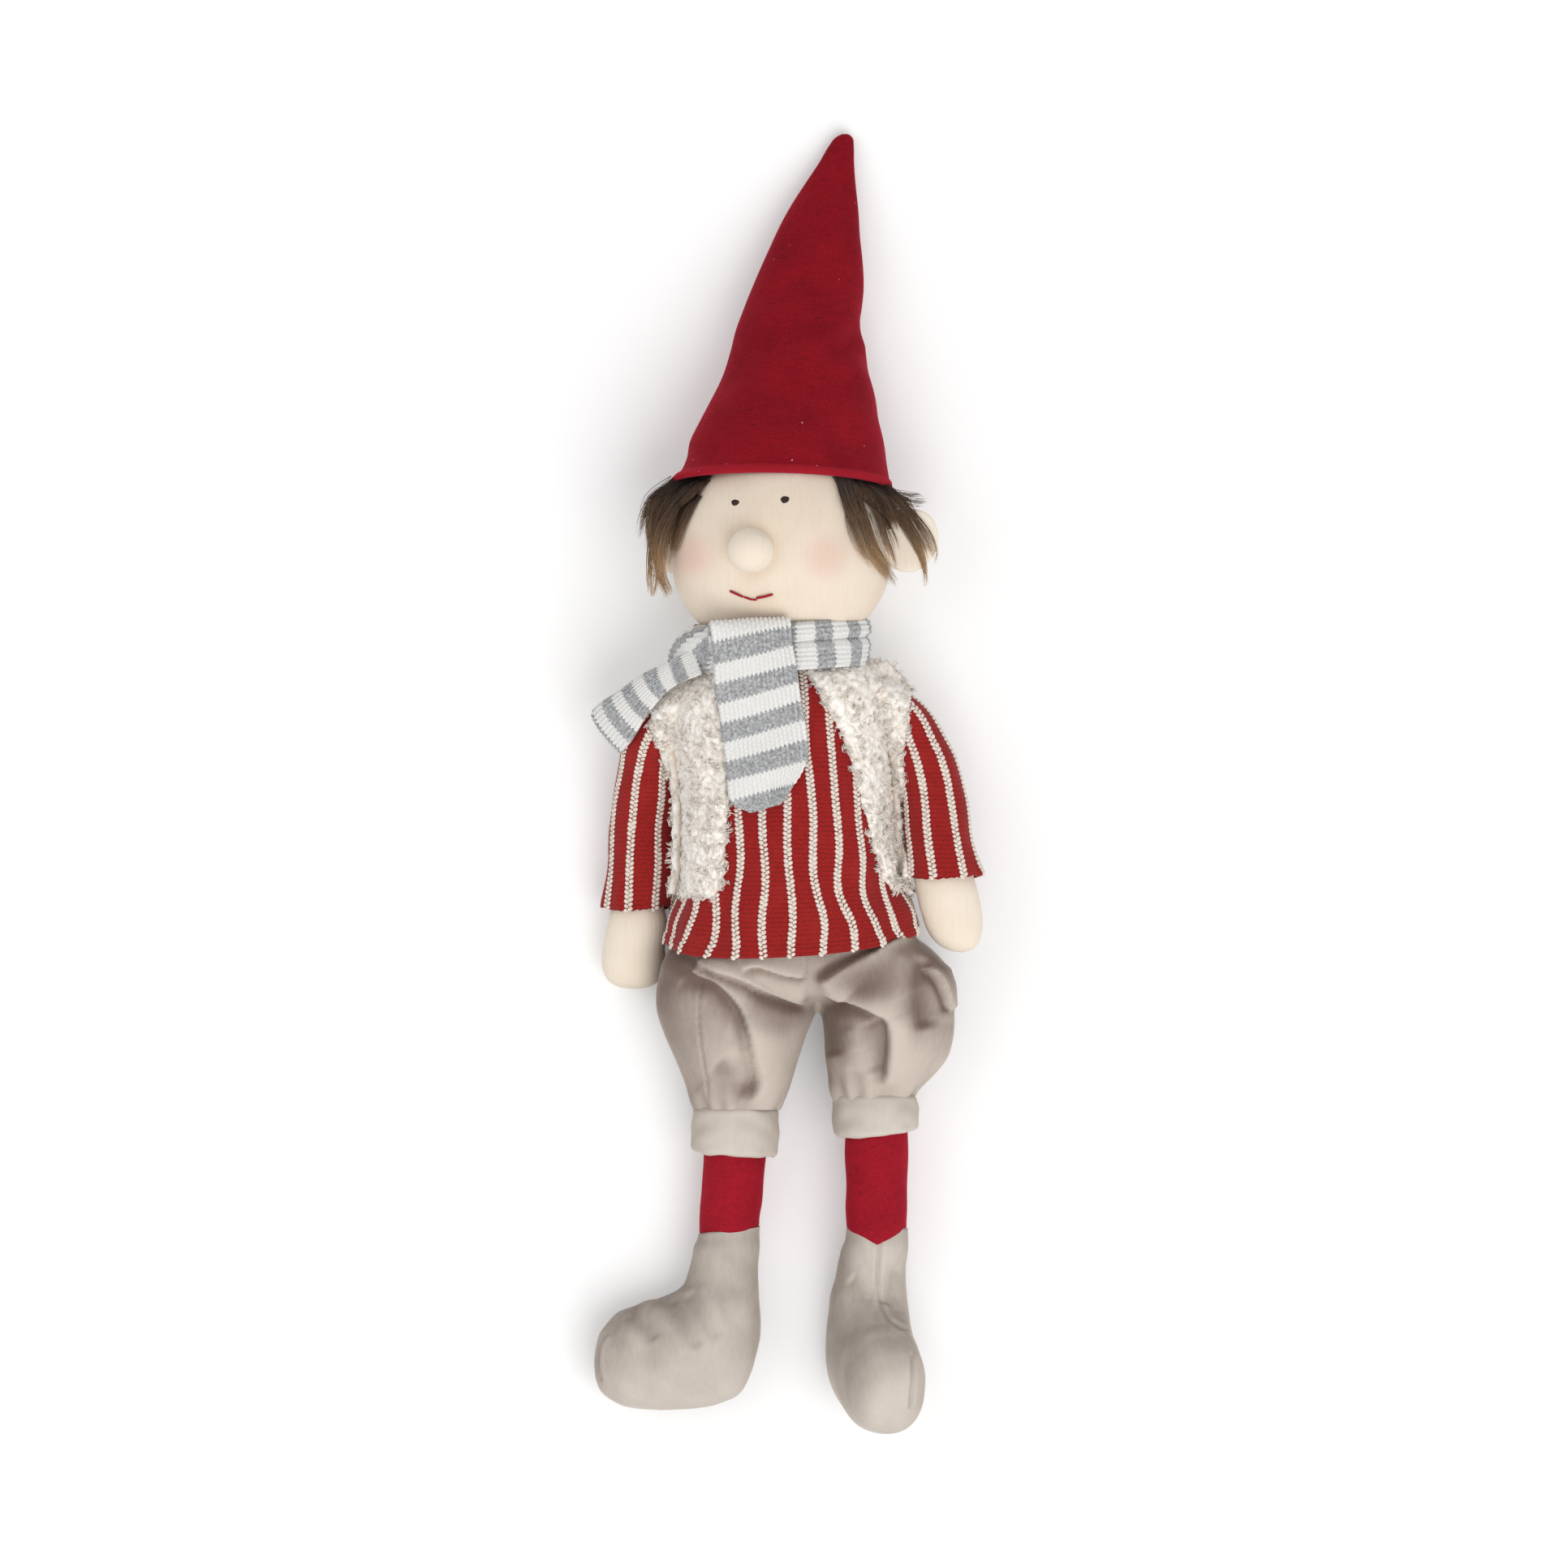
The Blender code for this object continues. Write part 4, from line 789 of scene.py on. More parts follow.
def strands(name, material, paths, radius, seed, taper=0.75, sides=3):
    """Fine closed fibres along paths: one row of points for each strand."""
    draw = np.random.RandomState(seed)
    count, steps = paths.shape[:2]
    along = np.gradient(paths, axis=1)
    along /= np.linalg.norm(along, axis=2, keepdims=True) + 1e-12
    any_way = draw.normal(size=(count, 1, 3))
    side = np.cross(along, any_way)
    side /= np.linalg.norm(side, axis=2, keepdims=True) + 1e-12
    up = np.cross(along, side)
    radii = radius * draw.uniform(0.7, 1.3, size=count)
    which = draw.uniform(size=count)

    def places(form):
        step = np.rint(form[:, 2] * (steps - 1)).astype(int)
        width = radii[:, None] * (1.0 - taper * form[:, 2][None, :] ** 1.5)
        return (paths[:, step] + side[:, step] * (form[:, 0] * width)[..., None]
                + up[:, step] * (form[:, 1] * width)[..., None])

    def marks(form):
        return np.stack([np.repeat(which[:, None], len(form), axis=1),
                         np.repeat(form[None, :, 2], count, axis=0)], axis=2)

    return repeat_form(name, material, tube_form(sides, steps - 1), places, marks)


def dress(piece, slot, *nodes):
    """A finished piece rides on the doll and stands for its nodes, which it hides; slot is not used."""
    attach(piece, "root")
    if nodes:
        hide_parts(*nodes)
    return piece


# Head


def head_points(turn, along):
    """The jersey ball, from the chin up."""
    tilt = (along - 0.5) * math.pi
    rise = np.where(tilt > 0, CROWN_RISE, CHIN_DROP)
    c, s = np.cos(2 * math.pi * turn), np.sin(2 * math.pi * turn)
    return HEAD_CENTRE + np.stack([-HEAD_WIDTH / 2 * np.cos(tilt) * c, rise * np.sin(tilt),
                                   HEAD_DEPTH / 2 * np.cos(tilt) * s], axis=1)


def head_share(y, least=0.0):
    """How wide the head is at a height y, as a share of its full width."""
    rise = y - HEAD_CENTRE[1]
    return np.sqrt(np.maximum(1.0 - (rise / np.where(rise > 0, CROWN_RISE, CHIN_DROP)) ** 2, least))


def head_lift(x, y):
    """z of the face, or of the head's mid-plane beside it, at x and y."""
    share = head_share(y) + 1e-9
    left = np.maximum(1.0 - ((x - HEAD_CENTRE[0]) / (HEAD_WIDTH / 2 * share)) ** 2, 0.0)
    return HEAD_CENTRE[2] + HEAD_DEPTH / 2 * share * np.sqrt(left)


def round_head(angle, y, out, lowest, least=0.0):
    """Points that stand off the head by out, at angles round it."""
    share = head_share(y, least)
    z = HEAD_CENTRE[2] + (HEAD_DEPTH / 2 * share + out) * np.sin(angle)
    return np.stack([HEAD_CENTRE[0] + (HEAD_WIDTH / 2 * share + out) * np.cos(angle), y,
                     settle(z, lowest, 0.001)], axis=1)


def face_point(at, lift=0.0):
    x, y = HEAD_CENTRE[0] + at[0], HEAD_CENTRE[1] + at[1]
    return np.array((x, y, float(head_lift(np.array(x), np.array(y))) + lift))


CHIN_SEAM = ((-0.0134, 0.0860), (-0.0124, 0.0800), (-0.0112, 0.0740), (-0.0100, 0.0680))
NOSE_SEAT = np.array((HEAD_CENTRE[0] + NOSE_AT[0], HEAD_CENTRE[1] + NOSE_AT[1]))


def make_head(skin):
    head = cloth("face_and_head", skin, 128, 96, head_points, closed=True)

    def dents(points, normals):
        away = np.hypot(points[:, 0] - NOSE_SEAT[0], points[:, 1] - NOSE_SEAT[1])
        front = smooth_step(normals[:, 2], 0.0, 0.3)
        under_nose = -0.0009 * np.exp(-((away - NOSE_WIDTH * 0.46) / 0.0030) ** 2) * front
        seam = crease(points, normals, CHIN_SEAM, 0.0006, 0.0008, 0.0002)
        return under_nose + seam + 0.00045 * ripple(points, 0.034, 11)

    press(head, dents)
    dress(head, "skin_jersey", "head")


def make_nose(skin):
    """A small stuffed ball, gathered and sewn on."""
    radius = NOSE_WIDTH / 2
    middle = face_point(NOSE_AT, radius * 0.45)
    gather = math.radians(55)

    def ball(turn, along):
        tilt = (along - 0.5) * math.pi
        pull = 1.0 - 0.035 * np.exp(-((along - 0.12) / 0.10) ** 2) * (1 + np.cos(14 * math.pi * turn)) / 2
        c, s = np.cos(2 * math.pi * turn), np.sin(2 * math.pi * turn)
        return middle + np.stack([radius * pull * np.cos(tilt) * c, radius * 0.98 * pull * np.cos(tilt) * s,
                                  radius * 1.02 * np.sin(tilt)], axis=1)

    nose = cloth("nose", skin, 48, 32, ball, closed=True)

    def seam(points, normals):
        spot = middle + radius * np.array((math.cos(gather), math.sin(gather), 0.35))
        away = np.linalg.norm(points - spot, axis=1)
        line = crease(points, normals, [middle[:2] + radius * np.array((0.55, 0.95)),
                                        middle[:2] + radius * np.array((0.90, 0.62))], 0.0005, 0.0005, 0.0002)
        return -0.0009 * np.exp(-(away / 0.0024) ** 2) + line

    press(nose, seam)
    dress(nose, "skin_jersey", "nose")


def make_ear(side_name, skin):
    """A flat stuffed ear with a sewn rim, slightly cupped to the front."""
    side = 1 if side_name == "left" else -1
    length = EAR_REACH[side_name] + EAR_ROOT
    middle = np.array((HEAD_WIDTH / 2 + EAR_REACH[side_name] - length / 2, EAR_RISE, 0.0))
    angle = math.radians(-side * EAR_TURNS[side_name])
    turn_about = np.array(Matrix.Rotation(angle, 3, 'Y'))

    def form(turn, along):
        tilt = (along - 0.5) * math.pi
        c, s = np.cos(2 * math.pi * turn), np.sin(2 * math.pi * turn)
        reach = np.cos(tilt)
        swell = np.abs(np.sin(tilt)) ** 0.8 * np.sign(tilt)
        outline = 1.0 + 0.10 * s * c - 0.05 * s
        flat = np.stack([length / 2 * reach * c * outline, EAR_HEIGHT / 2 * reach * s * outline,
                         EAR_THICKNESS / 2 * swell], axis=1)
        cup = 1.0 - (flat[:, 0] / (length / 2)) ** 2 - (flat[:, 1] / (EAR_HEIGHT / 2)) ** 2
        flat[:, 2] -= 0.0022 * np.maximum(cup, 0.0)
        flat = (flat + middle) * (side, 1, 1)
        return HEAD_CENTRE + flat @ turn_about.T

    ear = cloth("ear_" + side_name, skin, 64, 32, form, closed=True)
    if side < 0:
        ear.data.flip_normals()
    dress(ear, "skin_jersey", "ear_" + side_name)


PAINT_LIFT = 0.00006
PAINT_CROWN = 0.00022


def make_eyes(dark):
    """Two oval dots of dark paint on the jersey."""
    face = surface_of("face_and_head")
    for side, (at, (half_width, half_height), turn) in EYES.items():
        tilt = math.radians(turn)
        middle = HEAD_CENTRE[:2] + np.array(at)

        def dot(round_share, along):
            angle = 2 * math.pi * round_share
            reach = 1.0 - along
            edge = 1.0 + 0.05 * np.sin(3 * angle + 1.0) + 0.03 * np.sin(5 * angle)
            across = half_width * reach * edge * np.cos(angle)
            up = half_height * reach * edge * np.sin(angle)
            x = middle[0] + across * math.cos(tilt) - up * math.sin(tilt)
            y = middle[1] + across * math.sin(tilt) + up * math.cos(tilt)
            z = np.array([straight_down(face, px, py).z for px, py in zip(x, y)])
            return np.stack([x, y, z + PAINT_LIFT + PAINT_CROWN * np.minimum(along * 4, 1.0)], axis=1)

        eye = cloth("eye_dot_" + side, dark, 32, 10, dot, closed=True)
        thicken(eye, 0.0004)
        dress(eye, "eye_paint", "eye_" + side)


def make_mouth(red_thread):
    """Three back stitches of one thread, which dip into the jersey at their ends."""
    rows = []
    for stitch in MOUTH_STITCHES:
        line = smooth_line([face_point(at) for at in stitch], 5)
        share = np.linspace(0.0, 1.0, len(line))
        line[:, 2] += STITCH_THICKNESS * (0.75 * np.sin(math.pi * share) ** 0.4 - 0.25)
        rows.append(line)
    mouth = strands("mouth_stitches", red_thread, np.array(rows), STITCH_THICKNESS / 2, 3, taper=0.1, sides=8)
    dress(mouth, "mouth_thread", "mouth")


# Hat


def hat_values(height):
    table = np.asarray(HAT_OUTLINE)
    left, right = fair(table[:, 0], table[:, 1:], height).T
    return (left + right) / 2, np.maximum((right - left) / 2, 0.0)


def hat_points(turn, along):
    """The felt cone, from the brim to the closed tip."""
    table = np.asarray(HAT_OUTLINE)
    steps = np.hypot(np.diff(table[:, 0]), np.diff((table[:, 2] - table[:, 1]) / 2))
    knots = np.concatenate(([0.0], np.cumsum(steps)))
    top = knots[-1] + HAT_TIP_ROUND
    run = along * top
    height = np.where(run < knots[-1], np.interp(run, knots, table[:, 0]), table[-1, 0])
    middle, outline = hat_values(height)
    wide = outline * np.clip((top - run) / HAT_TIP_ROUND, 0.0, 1.0)
    rise = (height - table[0, 0]) / (table[-1, 0] - table[0, 0])
    middle_z = HAT_BRIM_DEPTH + (HAT_TIP_DEPTH - HAT_BRIM_DEPTH) * rise
    deep = middle_z * wide / np.maximum(outline, 1e-6)
    hem = HAT_HEM_ROLL * (1.0 - smooth_step(run, HAT_HEM * 0.7, HAT_HEM * 1.25))
    angle = -2 * math.pi * turn
    across, up = (wide + hem) * np.cos(angle), (deep + hem) * np.sin(angle)
    sway = (1.0 - rise) ** 1.5
    y = height + sway * (HAT_BRIM_LEAN[0] * across + HAT_BRIM_LEAN[1] * up)
    return np.stack([middle + across, y, settle(middle_z + up, HAT_REST, 0.001)], axis=1)


HAT_PINCH = ((0.0360, 0.2110), (0.0290, 0.2030), (0.0200, 0.1980))
HAT_SOFT_FOLD = ((-0.0330, 0.1750), (-0.0230, 0.1850), (-0.0100, 0.1900))


def make_hat(wool):
    hat = cloth("hat", wool, 128, 110, hat_points, closed=True)

    def dents(points, normals):
        ends = smooth_step(points[:, 1], 0.1450, 0.1600) * (1.0 - smooth_step(points[:, 1], 0.2800, 0.2960))
        soft = 0.0011 * ripple(points, 0.030, 21) + 0.0003 * ripple(points, 0.010, 22)
        return (ends * soft + crease(points, normals, HAT_PINCH, 0.0016, 0.0035, 0.0008)
                + crease(points, normals, HAT_SOFT_FOLD, 0.0010, 0.0050, 0.0004))

    press(hat, dents)
    lift_to(hat, HAT_REST)
    thicken(hat, HAT_FELT)
    dress(hat, "hat_felt", "hat")


# Hair


HAIR_TOP = 0.1400
HAIR_BAND = 0.024
HAIR_SPAN = (math.radians(-212), math.radians(40))
HAIR_LOCKS_AROUND = 30
STRANDS_PER_LOCK = 104
STRAND_STEPS = 7


def hair_swell(angle):
    """How far the pile stands off the head: full at the sides, thin under the head."""
    c, s = np.cos(angle), np.sin(angle)
    side = np.where(c > 0, 0.0062, 0.0104)
    return 0.0030 + (side - 0.0030) * np.abs(c) ** 1.5 * np.where(s > 0, 1.0, 1.0 - 0.35 * np.abs(s))


def make_hair(under):
    """A strip of fake fur, sewn under the brim from temple to temple round the back."""
    first, last = HAIR_SPAN

    def backing(across, along):
        angle = first + (last - first) * across
        tuck = smooth_step(along, 0.25, 1.0) * np.where(np.sin(angle) > 0, 0.55, 0.0)
        angle = np.where(np.cos(angle) > 0, angle - tuck, angle + tuck)
        puff = np.sin(math.pi * np.clip(along, 0, 1)) ** 0.7
        out = 0.0012 + hair_swell(angle) * 0.45 * puff
        return round_head(angle, HAIR_TOP - HAIR_BAND * along, out, 0.0012)

    strip = cloth("hair_pile", under, 120, 12, backing)
    thicken(strip, 0.0012)
    dress(strip, "hair_fur", "hair")


def front_lock(draw, clumps, each, path, lift, spread):
    """Clumps of strands that lie over the face or the ear along x and y; each clump thins to a tip."""
    line = smooth_line(path, 8)
    shares = np.linspace(0, 1, len(line))
    way = np.array((line[-1, 1] - line[0, 1], line[0, 0] - line[-1, 0]))
    way /= np.linalg.norm(way)
    rows = []
    for _ in range(clumps):
        place = draw.uniform(-1, 1)
        reach = draw.uniform(0.72, 1.06)
        bend = draw.normal() * 0.0016
        for _ in range(each):
            at = np.linspace(0.0, 1.0, STRAND_STEPS)
            run = np.minimum(at * reach * draw.uniform(0.80, 1.0), 1.0)
            x = np.interp(run, shares, line[:, 0])
            y = np.interp(run, shares, line[:, 1])
            side = spread * place * (0.55 + 0.45 * run) + bend * np.sin(3 * run)
            side = side + draw.normal() * 0.0013 * (1.0 - 0.72 * at) + draw.normal() * 0.0005 * at ** 2
            x, y = x + way[0] * side, y + way[1] * side
            under_brim = smooth_step(0.1370 - y, 0.0, 0.006)
            base = np.maximum(head_lift(x, y), 0.0430 + 0.0090 * under_brim)
            up = lift * draw.uniform(0.2, 1.0) * np.sin(math.pi * np.clip(run * 0.9 + 0.08, 0, 1)) ** 0.6
            rows.append(np.stack([x, y, base + 0.0010 + up], axis=1))
    return rows


# Clumps, strands in each, the path they follow, how far they lift off the head, and how far they spread
FRONT_LOCKS = (
    # The cap of short hair over the left temple
    (9, 26, ((0.0262, 0.1432), (0.0290, 0.1345), (0.0325, 0.1245), (0.0372, 0.1175)), 0.0034, 0.0030),
    (10, 26, ((0.0340, 0.1430), (0.0400, 0.1340), (0.0450, 0.1265), (0.0500, 0.1195)), 0.0050, 0.0040),
    (10, 26, ((0.0400, 0.1405), (0.0480, 0.1335), (0.0540, 0.1275), (0.0580, 0.1200)), 0.0056, 0.0036),
    # Its long locks, over the cheek, in front of the ear and over the ear
    (5, 24, ((0.0320, 0.1290), (0.0364, 0.1210), (0.0409, 0.1094), (0.0454, 0.1017), (0.0499, 0.0958),
             (0.0531, 0.0895)), 0.0030, 0.0018),
    (4, 8, ((0.0290, 0.1290), (0.0300, 0.1190), (0.0340, 0.1080), (0.0400, 0.0990)), 0.0014, 0.0016),
    (5, 10, ((0.0440, 0.1260), (0.0468, 0.1170), (0.0498, 0.1090), (0.0526, 0.0989)), 0.0030, 0.0032),
    (5, 18, ((0.0520, 0.1260), (0.0545, 0.1207), (0.0590, 0.1139), (0.0626, 0.1072), (0.0649, 0.0999),
             (0.0658, 0.0913)), 0.0040, 0.0016),
    (4, 12, ((0.0540, 0.1300), (0.0600, 0.1215), (0.0653, 0.1126), (0.0681, 0.1049), (0.0685, 0.0999)),
     0.0040, 0.0013),
    (3, 12, ((0.0470, 0.1340), (0.0571, 0.1302), (0.0618, 0.1297), (0.0672, 0.1286)), 0.0040, 0.0012),
    # The tuft over the right temple and its two long locks
    (6, 22, ((-0.0400, 0.1330), (-0.0450, 0.1260), (-0.0490, 0.1180), (-0.0505, 0.1100), (-0.0512, 0.1030)),
     0.0024, 0.0014),
    (8, 24, ((-0.0360, 0.1425), (-0.0427, 0.1369), (-0.0475, 0.1293), (-0.0515, 0.1200), (-0.0528, 0.1110),
             (-0.0535, 0.1007)), 0.0040, 0.0018),
    (9, 26, ((-0.0430, 0.1410), (-0.0508, 0.1327), (-0.0561, 0.1246), (-0.0582, 0.1150), (-0.0578, 0.1007)),
     0.0060, 0.0030),
    (8, 24, ((-0.0480, 0.1400), (-0.0560, 0.1336), (-0.0602, 0.1269), (-0.0618, 0.1174), (-0.0618, 0.1031)),
     0.0050, 0.0022),
    (4, 14, ((-0.0600, 0.1160), (-0.0618, 0.1031), (-0.0623, 0.0936), (-0.0616, 0.0862)), 0.0030, 0.0010),
    (4, 16, ((-0.0560, 0.1160), (-0.0575, 0.1031), (-0.0556, 0.0945), (-0.0532, 0.0898), (-0.0520, 0.0855)),
     0.0030, 0.0014),
    (5, 8, ((-0.0560, 0.1330), (-0.0610, 0.1270), (-0.0638, 0.1190), (-0.0650, 0.1110)), 0.0030, 0.0018),
)


def lock_length(middle):
    """How long the hair is at an angle round the head: short over the left ear, longest at the back."""
    c = math.cos(middle)
    return 0.023 if c > 0.5 else 0.039 if c < -0.5 else 0.047


def make_strands(pile):
    """The loose hair: locks in front of the temples and ears, and a row of locks round the head."""
    draw = np.random.RandomState(31)
    rows = []
    for clumps, each, path, lift, spread in FRONT_LOCKS:
        rows += front_lock(draw, clumps, each, path, lift, spread)
    front = strands("hair_front_locks", pile, np.array(rows), 0.00015, 32)
    dress(front, "hair_fur")
    at = np.linspace(0.0, 1.0, STRAND_STEPS)
    rows = []
    for middle in np.linspace(-math.pi - 0.25, 0.25, HAIR_LOCKS_AROUND):
        length = lock_length(middle) + 0.004 * draw.normal()
        lean = draw.normal() * 0.06
        for _ in range(STRANDS_PER_LOCK):
            start = middle + draw.uniform(-1, 1) * 0.14
            angle = start + (middle - start) * 0.65 * at ** 1.4 + lean * at
            reach = length * draw.uniform(0.55, 1.05)
            y = HAIR_TOP - 0.002 * draw.uniform() - reach * at
            stand = hair_swell(angle) * draw.uniform(0.35, 1.0)
            out = 0.0015 + stand * np.sin(math.pi * np.clip(at * 0.62 + 0.05, 0, 1))
            rows.append(round_head(angle, y, out, 0.0006, 0.05))
    back = strands("hair_side_locks", pile, np.array(rows), 0.00016, 33)
    dress(back, "hair_fur")


# Sweater


def body_turn(turn):
    return even_turn(turn, 0.0475, 0.0380, BODY_SQUARENESS)


def sweater_points(turn, along):
    """The knitted body, from the neck to the hem, with soft waves towards the hem."""
    spot = oval_points(BODY, body_turn(turn), along, BODY_SQUARENESS)
    middle = np.array((0.0010, 0.0, 0.0405))
    out = spot - middle
    out[:, 1] = 0.0
    out /= np.linalg.norm(out, axis=1, keepdims=True)
    low = smooth_step(along, 0.62, 1.0)
    waves = 0.0010 * low * np.sin(2 * math.pi * (turn * 11 + 0.3 * np.sin(along * 5)))
    soft = 0.0010 * ripple(spot, 0.022, 41)
    roll = 0.0009 * smooth_step(along, 0.965, 0.985)
    spot = spot + out * (waves + soft * (0.35 + 0.65 * low) + roll)[:, None]
    spot[:, 2] = settle(spot[:, 2], BACK_OF_SWEATER, 0.001)
    return spot


def sleeve_points(side, turn, along):
    spot = oval_points(SLEEVES[side], turn, along, 2.1, 0.0006 if side == "right" else None)
    low = smooth_step(along, 0.75, 1.0)
    section = run_along(SLEEVES[side], along)
    out = np.stack([spot[:, 0] - section[:, 1], np.zeros(len(spot)), spot[:, 2] - section[:, 2]], axis=1)
    out /= np.linalg.norm(out, axis=1, keepdims=True) + 1e-9
    flare = 0.0010 * low + 0.0006 * low * np.sin(2 * math.pi * turn * 7) + 0.0007 * ripple(spot, 0.014, 43)
    fray = 0.0004 * np.sin(2 * math.pi * turn * 31 + 3.0 * np.sin(2 * math.pi * turn * 5))
    slack = 0.0011 * np.sin(2 * math.pi * turn * 2 + 1.0)
    spot = spot + out * flare[:, None]
    spot[:, 1] += (fray + slack) * smooth_step(along, 0.93, 1.0)
    return spot


def stripe_sway(turn, along):
    """Sideways waviness of the stripes, as a share of a turn; it grows towards the hem and the sides."""
    low = smooth_step(along, 0.45, 1.0)
    side = np.abs(np.sin(2 * math.pi * (turn - 0.25)))
    return (0.0010 + 0.0046 * low * (0.35 + side)) * np.sin(2 * math.pi * (along * 3.1 + turn * 5.0))


STITCH_LEG = (0.00125, 0.00102, 0.00058)
STITCH_TILT = math.radians(56)
STITCH_SPREAD = 0.00092


def even_run(surface):
    """A surface with its shares evened out along its front, and that front's length."""
    fine = np.linspace(0.0, 1.0, 400)
    spots = surface(np.full(400, 0.25), fine)
    run = np.concatenate(([0.0], np.cumsum(np.linalg.norm(np.diff(spots, axis=0), axis=1))))

    def evened(turn, along):
        return surface(turn, np.interp(along, run / run[-1], fine))

    return evened, run[-1]


def stitches(name, material, surface, turns, along_shares, sway, seed):
    """Columns of V stitches laid on a knitted surface, the left legs half a course below the right ones."""
    draw = np.random.RandomState(seed)
    turn = np.repeat(turns, len(along_shares))
    along = np.tile(along_shares, len(turns))
    turn = turn + sway(turn, along)
    small = 0.002
    spot = surface(turn, along)
    down = surface(turn, along + small) - surface(turn, along - small)
    over = surface(turn + small, along) - surface(turn - small, along)
    down /= np.linalg.norm(down, axis=1, keepdims=True)
    over -= down * np.sum(over * down, axis=1, keepdims=True)
    over /= np.linalg.norm(over, axis=1, keepdims=True)
    out = np.cross(over, down)
    legs = []
    for sign in (-1, 1):
        long_way = down * math.cos(STITCH_TILT) - over * sign * math.sin(STITCH_TILT)
        wide_way = np.cross(out, long_way)
        centre = spot + over * sign * STITCH_SPREAD + down * sign * COURSE / 4 + out * 0.00022
        legs.append((centre, long_way, wide_way, out))
    centre, long_way, wide_way, out = (np.concatenate(pair) for pair in zip(*legs))
    size = draw.uniform(0.88, 1.12, size=(len(centre), 1, 1))

    def places(form):
        return centre[:, None] + size * (long_way[:, None] * form[None, :, 2:3] * STITCH_LEG[0]
                                         + wide_way[:, None] * form[None, :, 0:1] * STITCH_LEG[1]
                                         + out[:, None] * form[None, :, 1:2] * STITCH_LEG[2])

    def marks(form):
        return np.repeat(form[None, :, :2], len(centre), axis=0)

    shape = bmesh.new()
    bmesh.ops.create_uvsphere(shape, u_segments=5, v_segments=4, radius=1.0)
    return repeat_form(name, material, shape, places, marks)


def sleeve_sway(turn, along):
    return 0.006 * np.sin(2 * math.pi * (along * 1.3 + turn))


def make_sweater(knit, cream):
    """The knitted body and sleeves, with the stitches of their stripes."""
    front, length = even_run(sweater_points)
    body = cloth("sweater_body", knit, 192, 110, front, (BODY_GIRTH, length), closed=True)
    thicken(body, KNIT)
    dress(body, "sweater_knit", "sweater")
    turns = np.arange(STRIPES_ROUND_BODY) / STRIPES_ROUND_BODY + 0.25
    shares = np.arange(0.02, 1.0, COURSE / length)
    dress(stitches("sweater_stripes", cream, front, turns % 1.0, shares, stripe_sway, 45), "sweater_knit")
    turns = (np.arange(STRIPES_ROUND_SLEEVE) + 0.35) / STRIPES_ROUND_SLEEVE
    for side, seed in (("right", 46), ("left", 47)):
        surface, length = even_run(partial(sleeve_points, side))
        sleeve = cloth("sleeve_" + side, knit, 96, 90, surface, (SLEEVE_GIRTH, length), closed=True)
        thicken(sleeve, KNIT)
        dress(sleeve, "sweater_knit")
        shares = np.arange(0.02, 1.0, COURSE / length)
        stripes = stitches("sleeve_stripes_" + side, cream, surface, turns, shares, sleeve_sway, seed)
        dress(stripes, "sweater_knit")


def make_trunk(skin):
    """The stuffed trunk under the clothes."""
    inner = [(y, x, z, wide - 0.0030, deep - 0.0030, 0.0, 0.0) for y, x, z, wide, deep, _, _ in BODY[:8]]
    start = [(0.0600, -0.0005, 0.0420, 0.0001, 0.0001, 0.0, 0.0)]
    table = start + inner + list(TRUNK_END)
    trunk = cloth("trunk", skin, 64, 48, lambda turn, along: oval_points(
        table, turn, along, BODY_SQUARENESS, BACK_OF_SWEATER + 0.0030), closed=True)
    dress(trunk, "skin_jersey", "torso")


def make_arm(side, skin):
    """A stuffed arm, slim inside the sleeve, with a mitten hand."""
    table = [(SLEEVES[side][0][0] + 0.002, *SLEEVES[side][0][1:3], 0.0001, 0.0001)]
    table += [(y, x, z, wide - 0.0028, deep - 0.0028) for y, x, z, wide, deep in SLEEVES[side]]
    table += list(HANDS[side])
    arm = cloth("arm_" + side, skin, 48, 90, lambda turn, along: oval_points(
        table, turn, along, 2.0, 0.0004 if side == "right" else None), closed=True)

    def seams(points, normals):
        low = 1.0 - smooth_step(points[:, 1], table[0][0] - 0.110, table[0][0] - 0.095)
        return 0.0004 * ripple(points, 0.012, 51) * low

    press(arm, seams)
    dress(arm, "skin_jersey", "arm_" + side)


# Vest


def front_heights():
    """A lookup of the front of the clothes: z at x and y, from the sweater and its sleeves."""
    surfaces = [surface_of(name) for name in ("sweater_body", "sleeve_left", "sleeve_right")]

    def height(x, y):
        found = [straight_down(surface, x, y) for surface in surfaces]
        return max([hit.z for hit in found if hit] + [LOWEST_DRAPE])

    return height


VEST_PILE = 0.0042
VEST_BACK = (0.0560, -0.0500)
VEST_OUT = 0.0048
LOWEST_DRAPE = 0.0400
CURL_LENGTH = 0.0062
FIBRES_IN_TUFT = 7


def lumps(points, size, seed):
    """Round curls packed side by side: 0 in the gaps between them, 1 on top."""
    draw = np.random.RandomState(seed)
    warp = np.stack([ripple(points, size * 1.3, seed + shift) for shift in (5, 6, 7)], axis=1)
    points = points + warp * size * 0.22
    low, high = points.min(axis=0), points.max(axis=0)
    count = int(np.prod(np.maximum(high - low, size)) / size ** 3 * 1.6)
    tree = kdtree.KDTree(count)
    for index, centre in enumerate(draw.uniform(low, high, size=(count, 3))):
        tree.insert(centre, index)
    tree.balance()
    away = np.array([[found[2] for found in tree.find_n(point, 2)] for point in points])
    return np.clip((away[:, 1] - away[:, 0]) / size * 1.7, 0.0, 1.0) ** 0.6


def curls_at(points, seed):
    """Large and small curls of the fleece together."""
    return 0.62 * lumps(points, 0.0062, seed) + 0.38 * lumps(points, 0.0030, seed + 20)


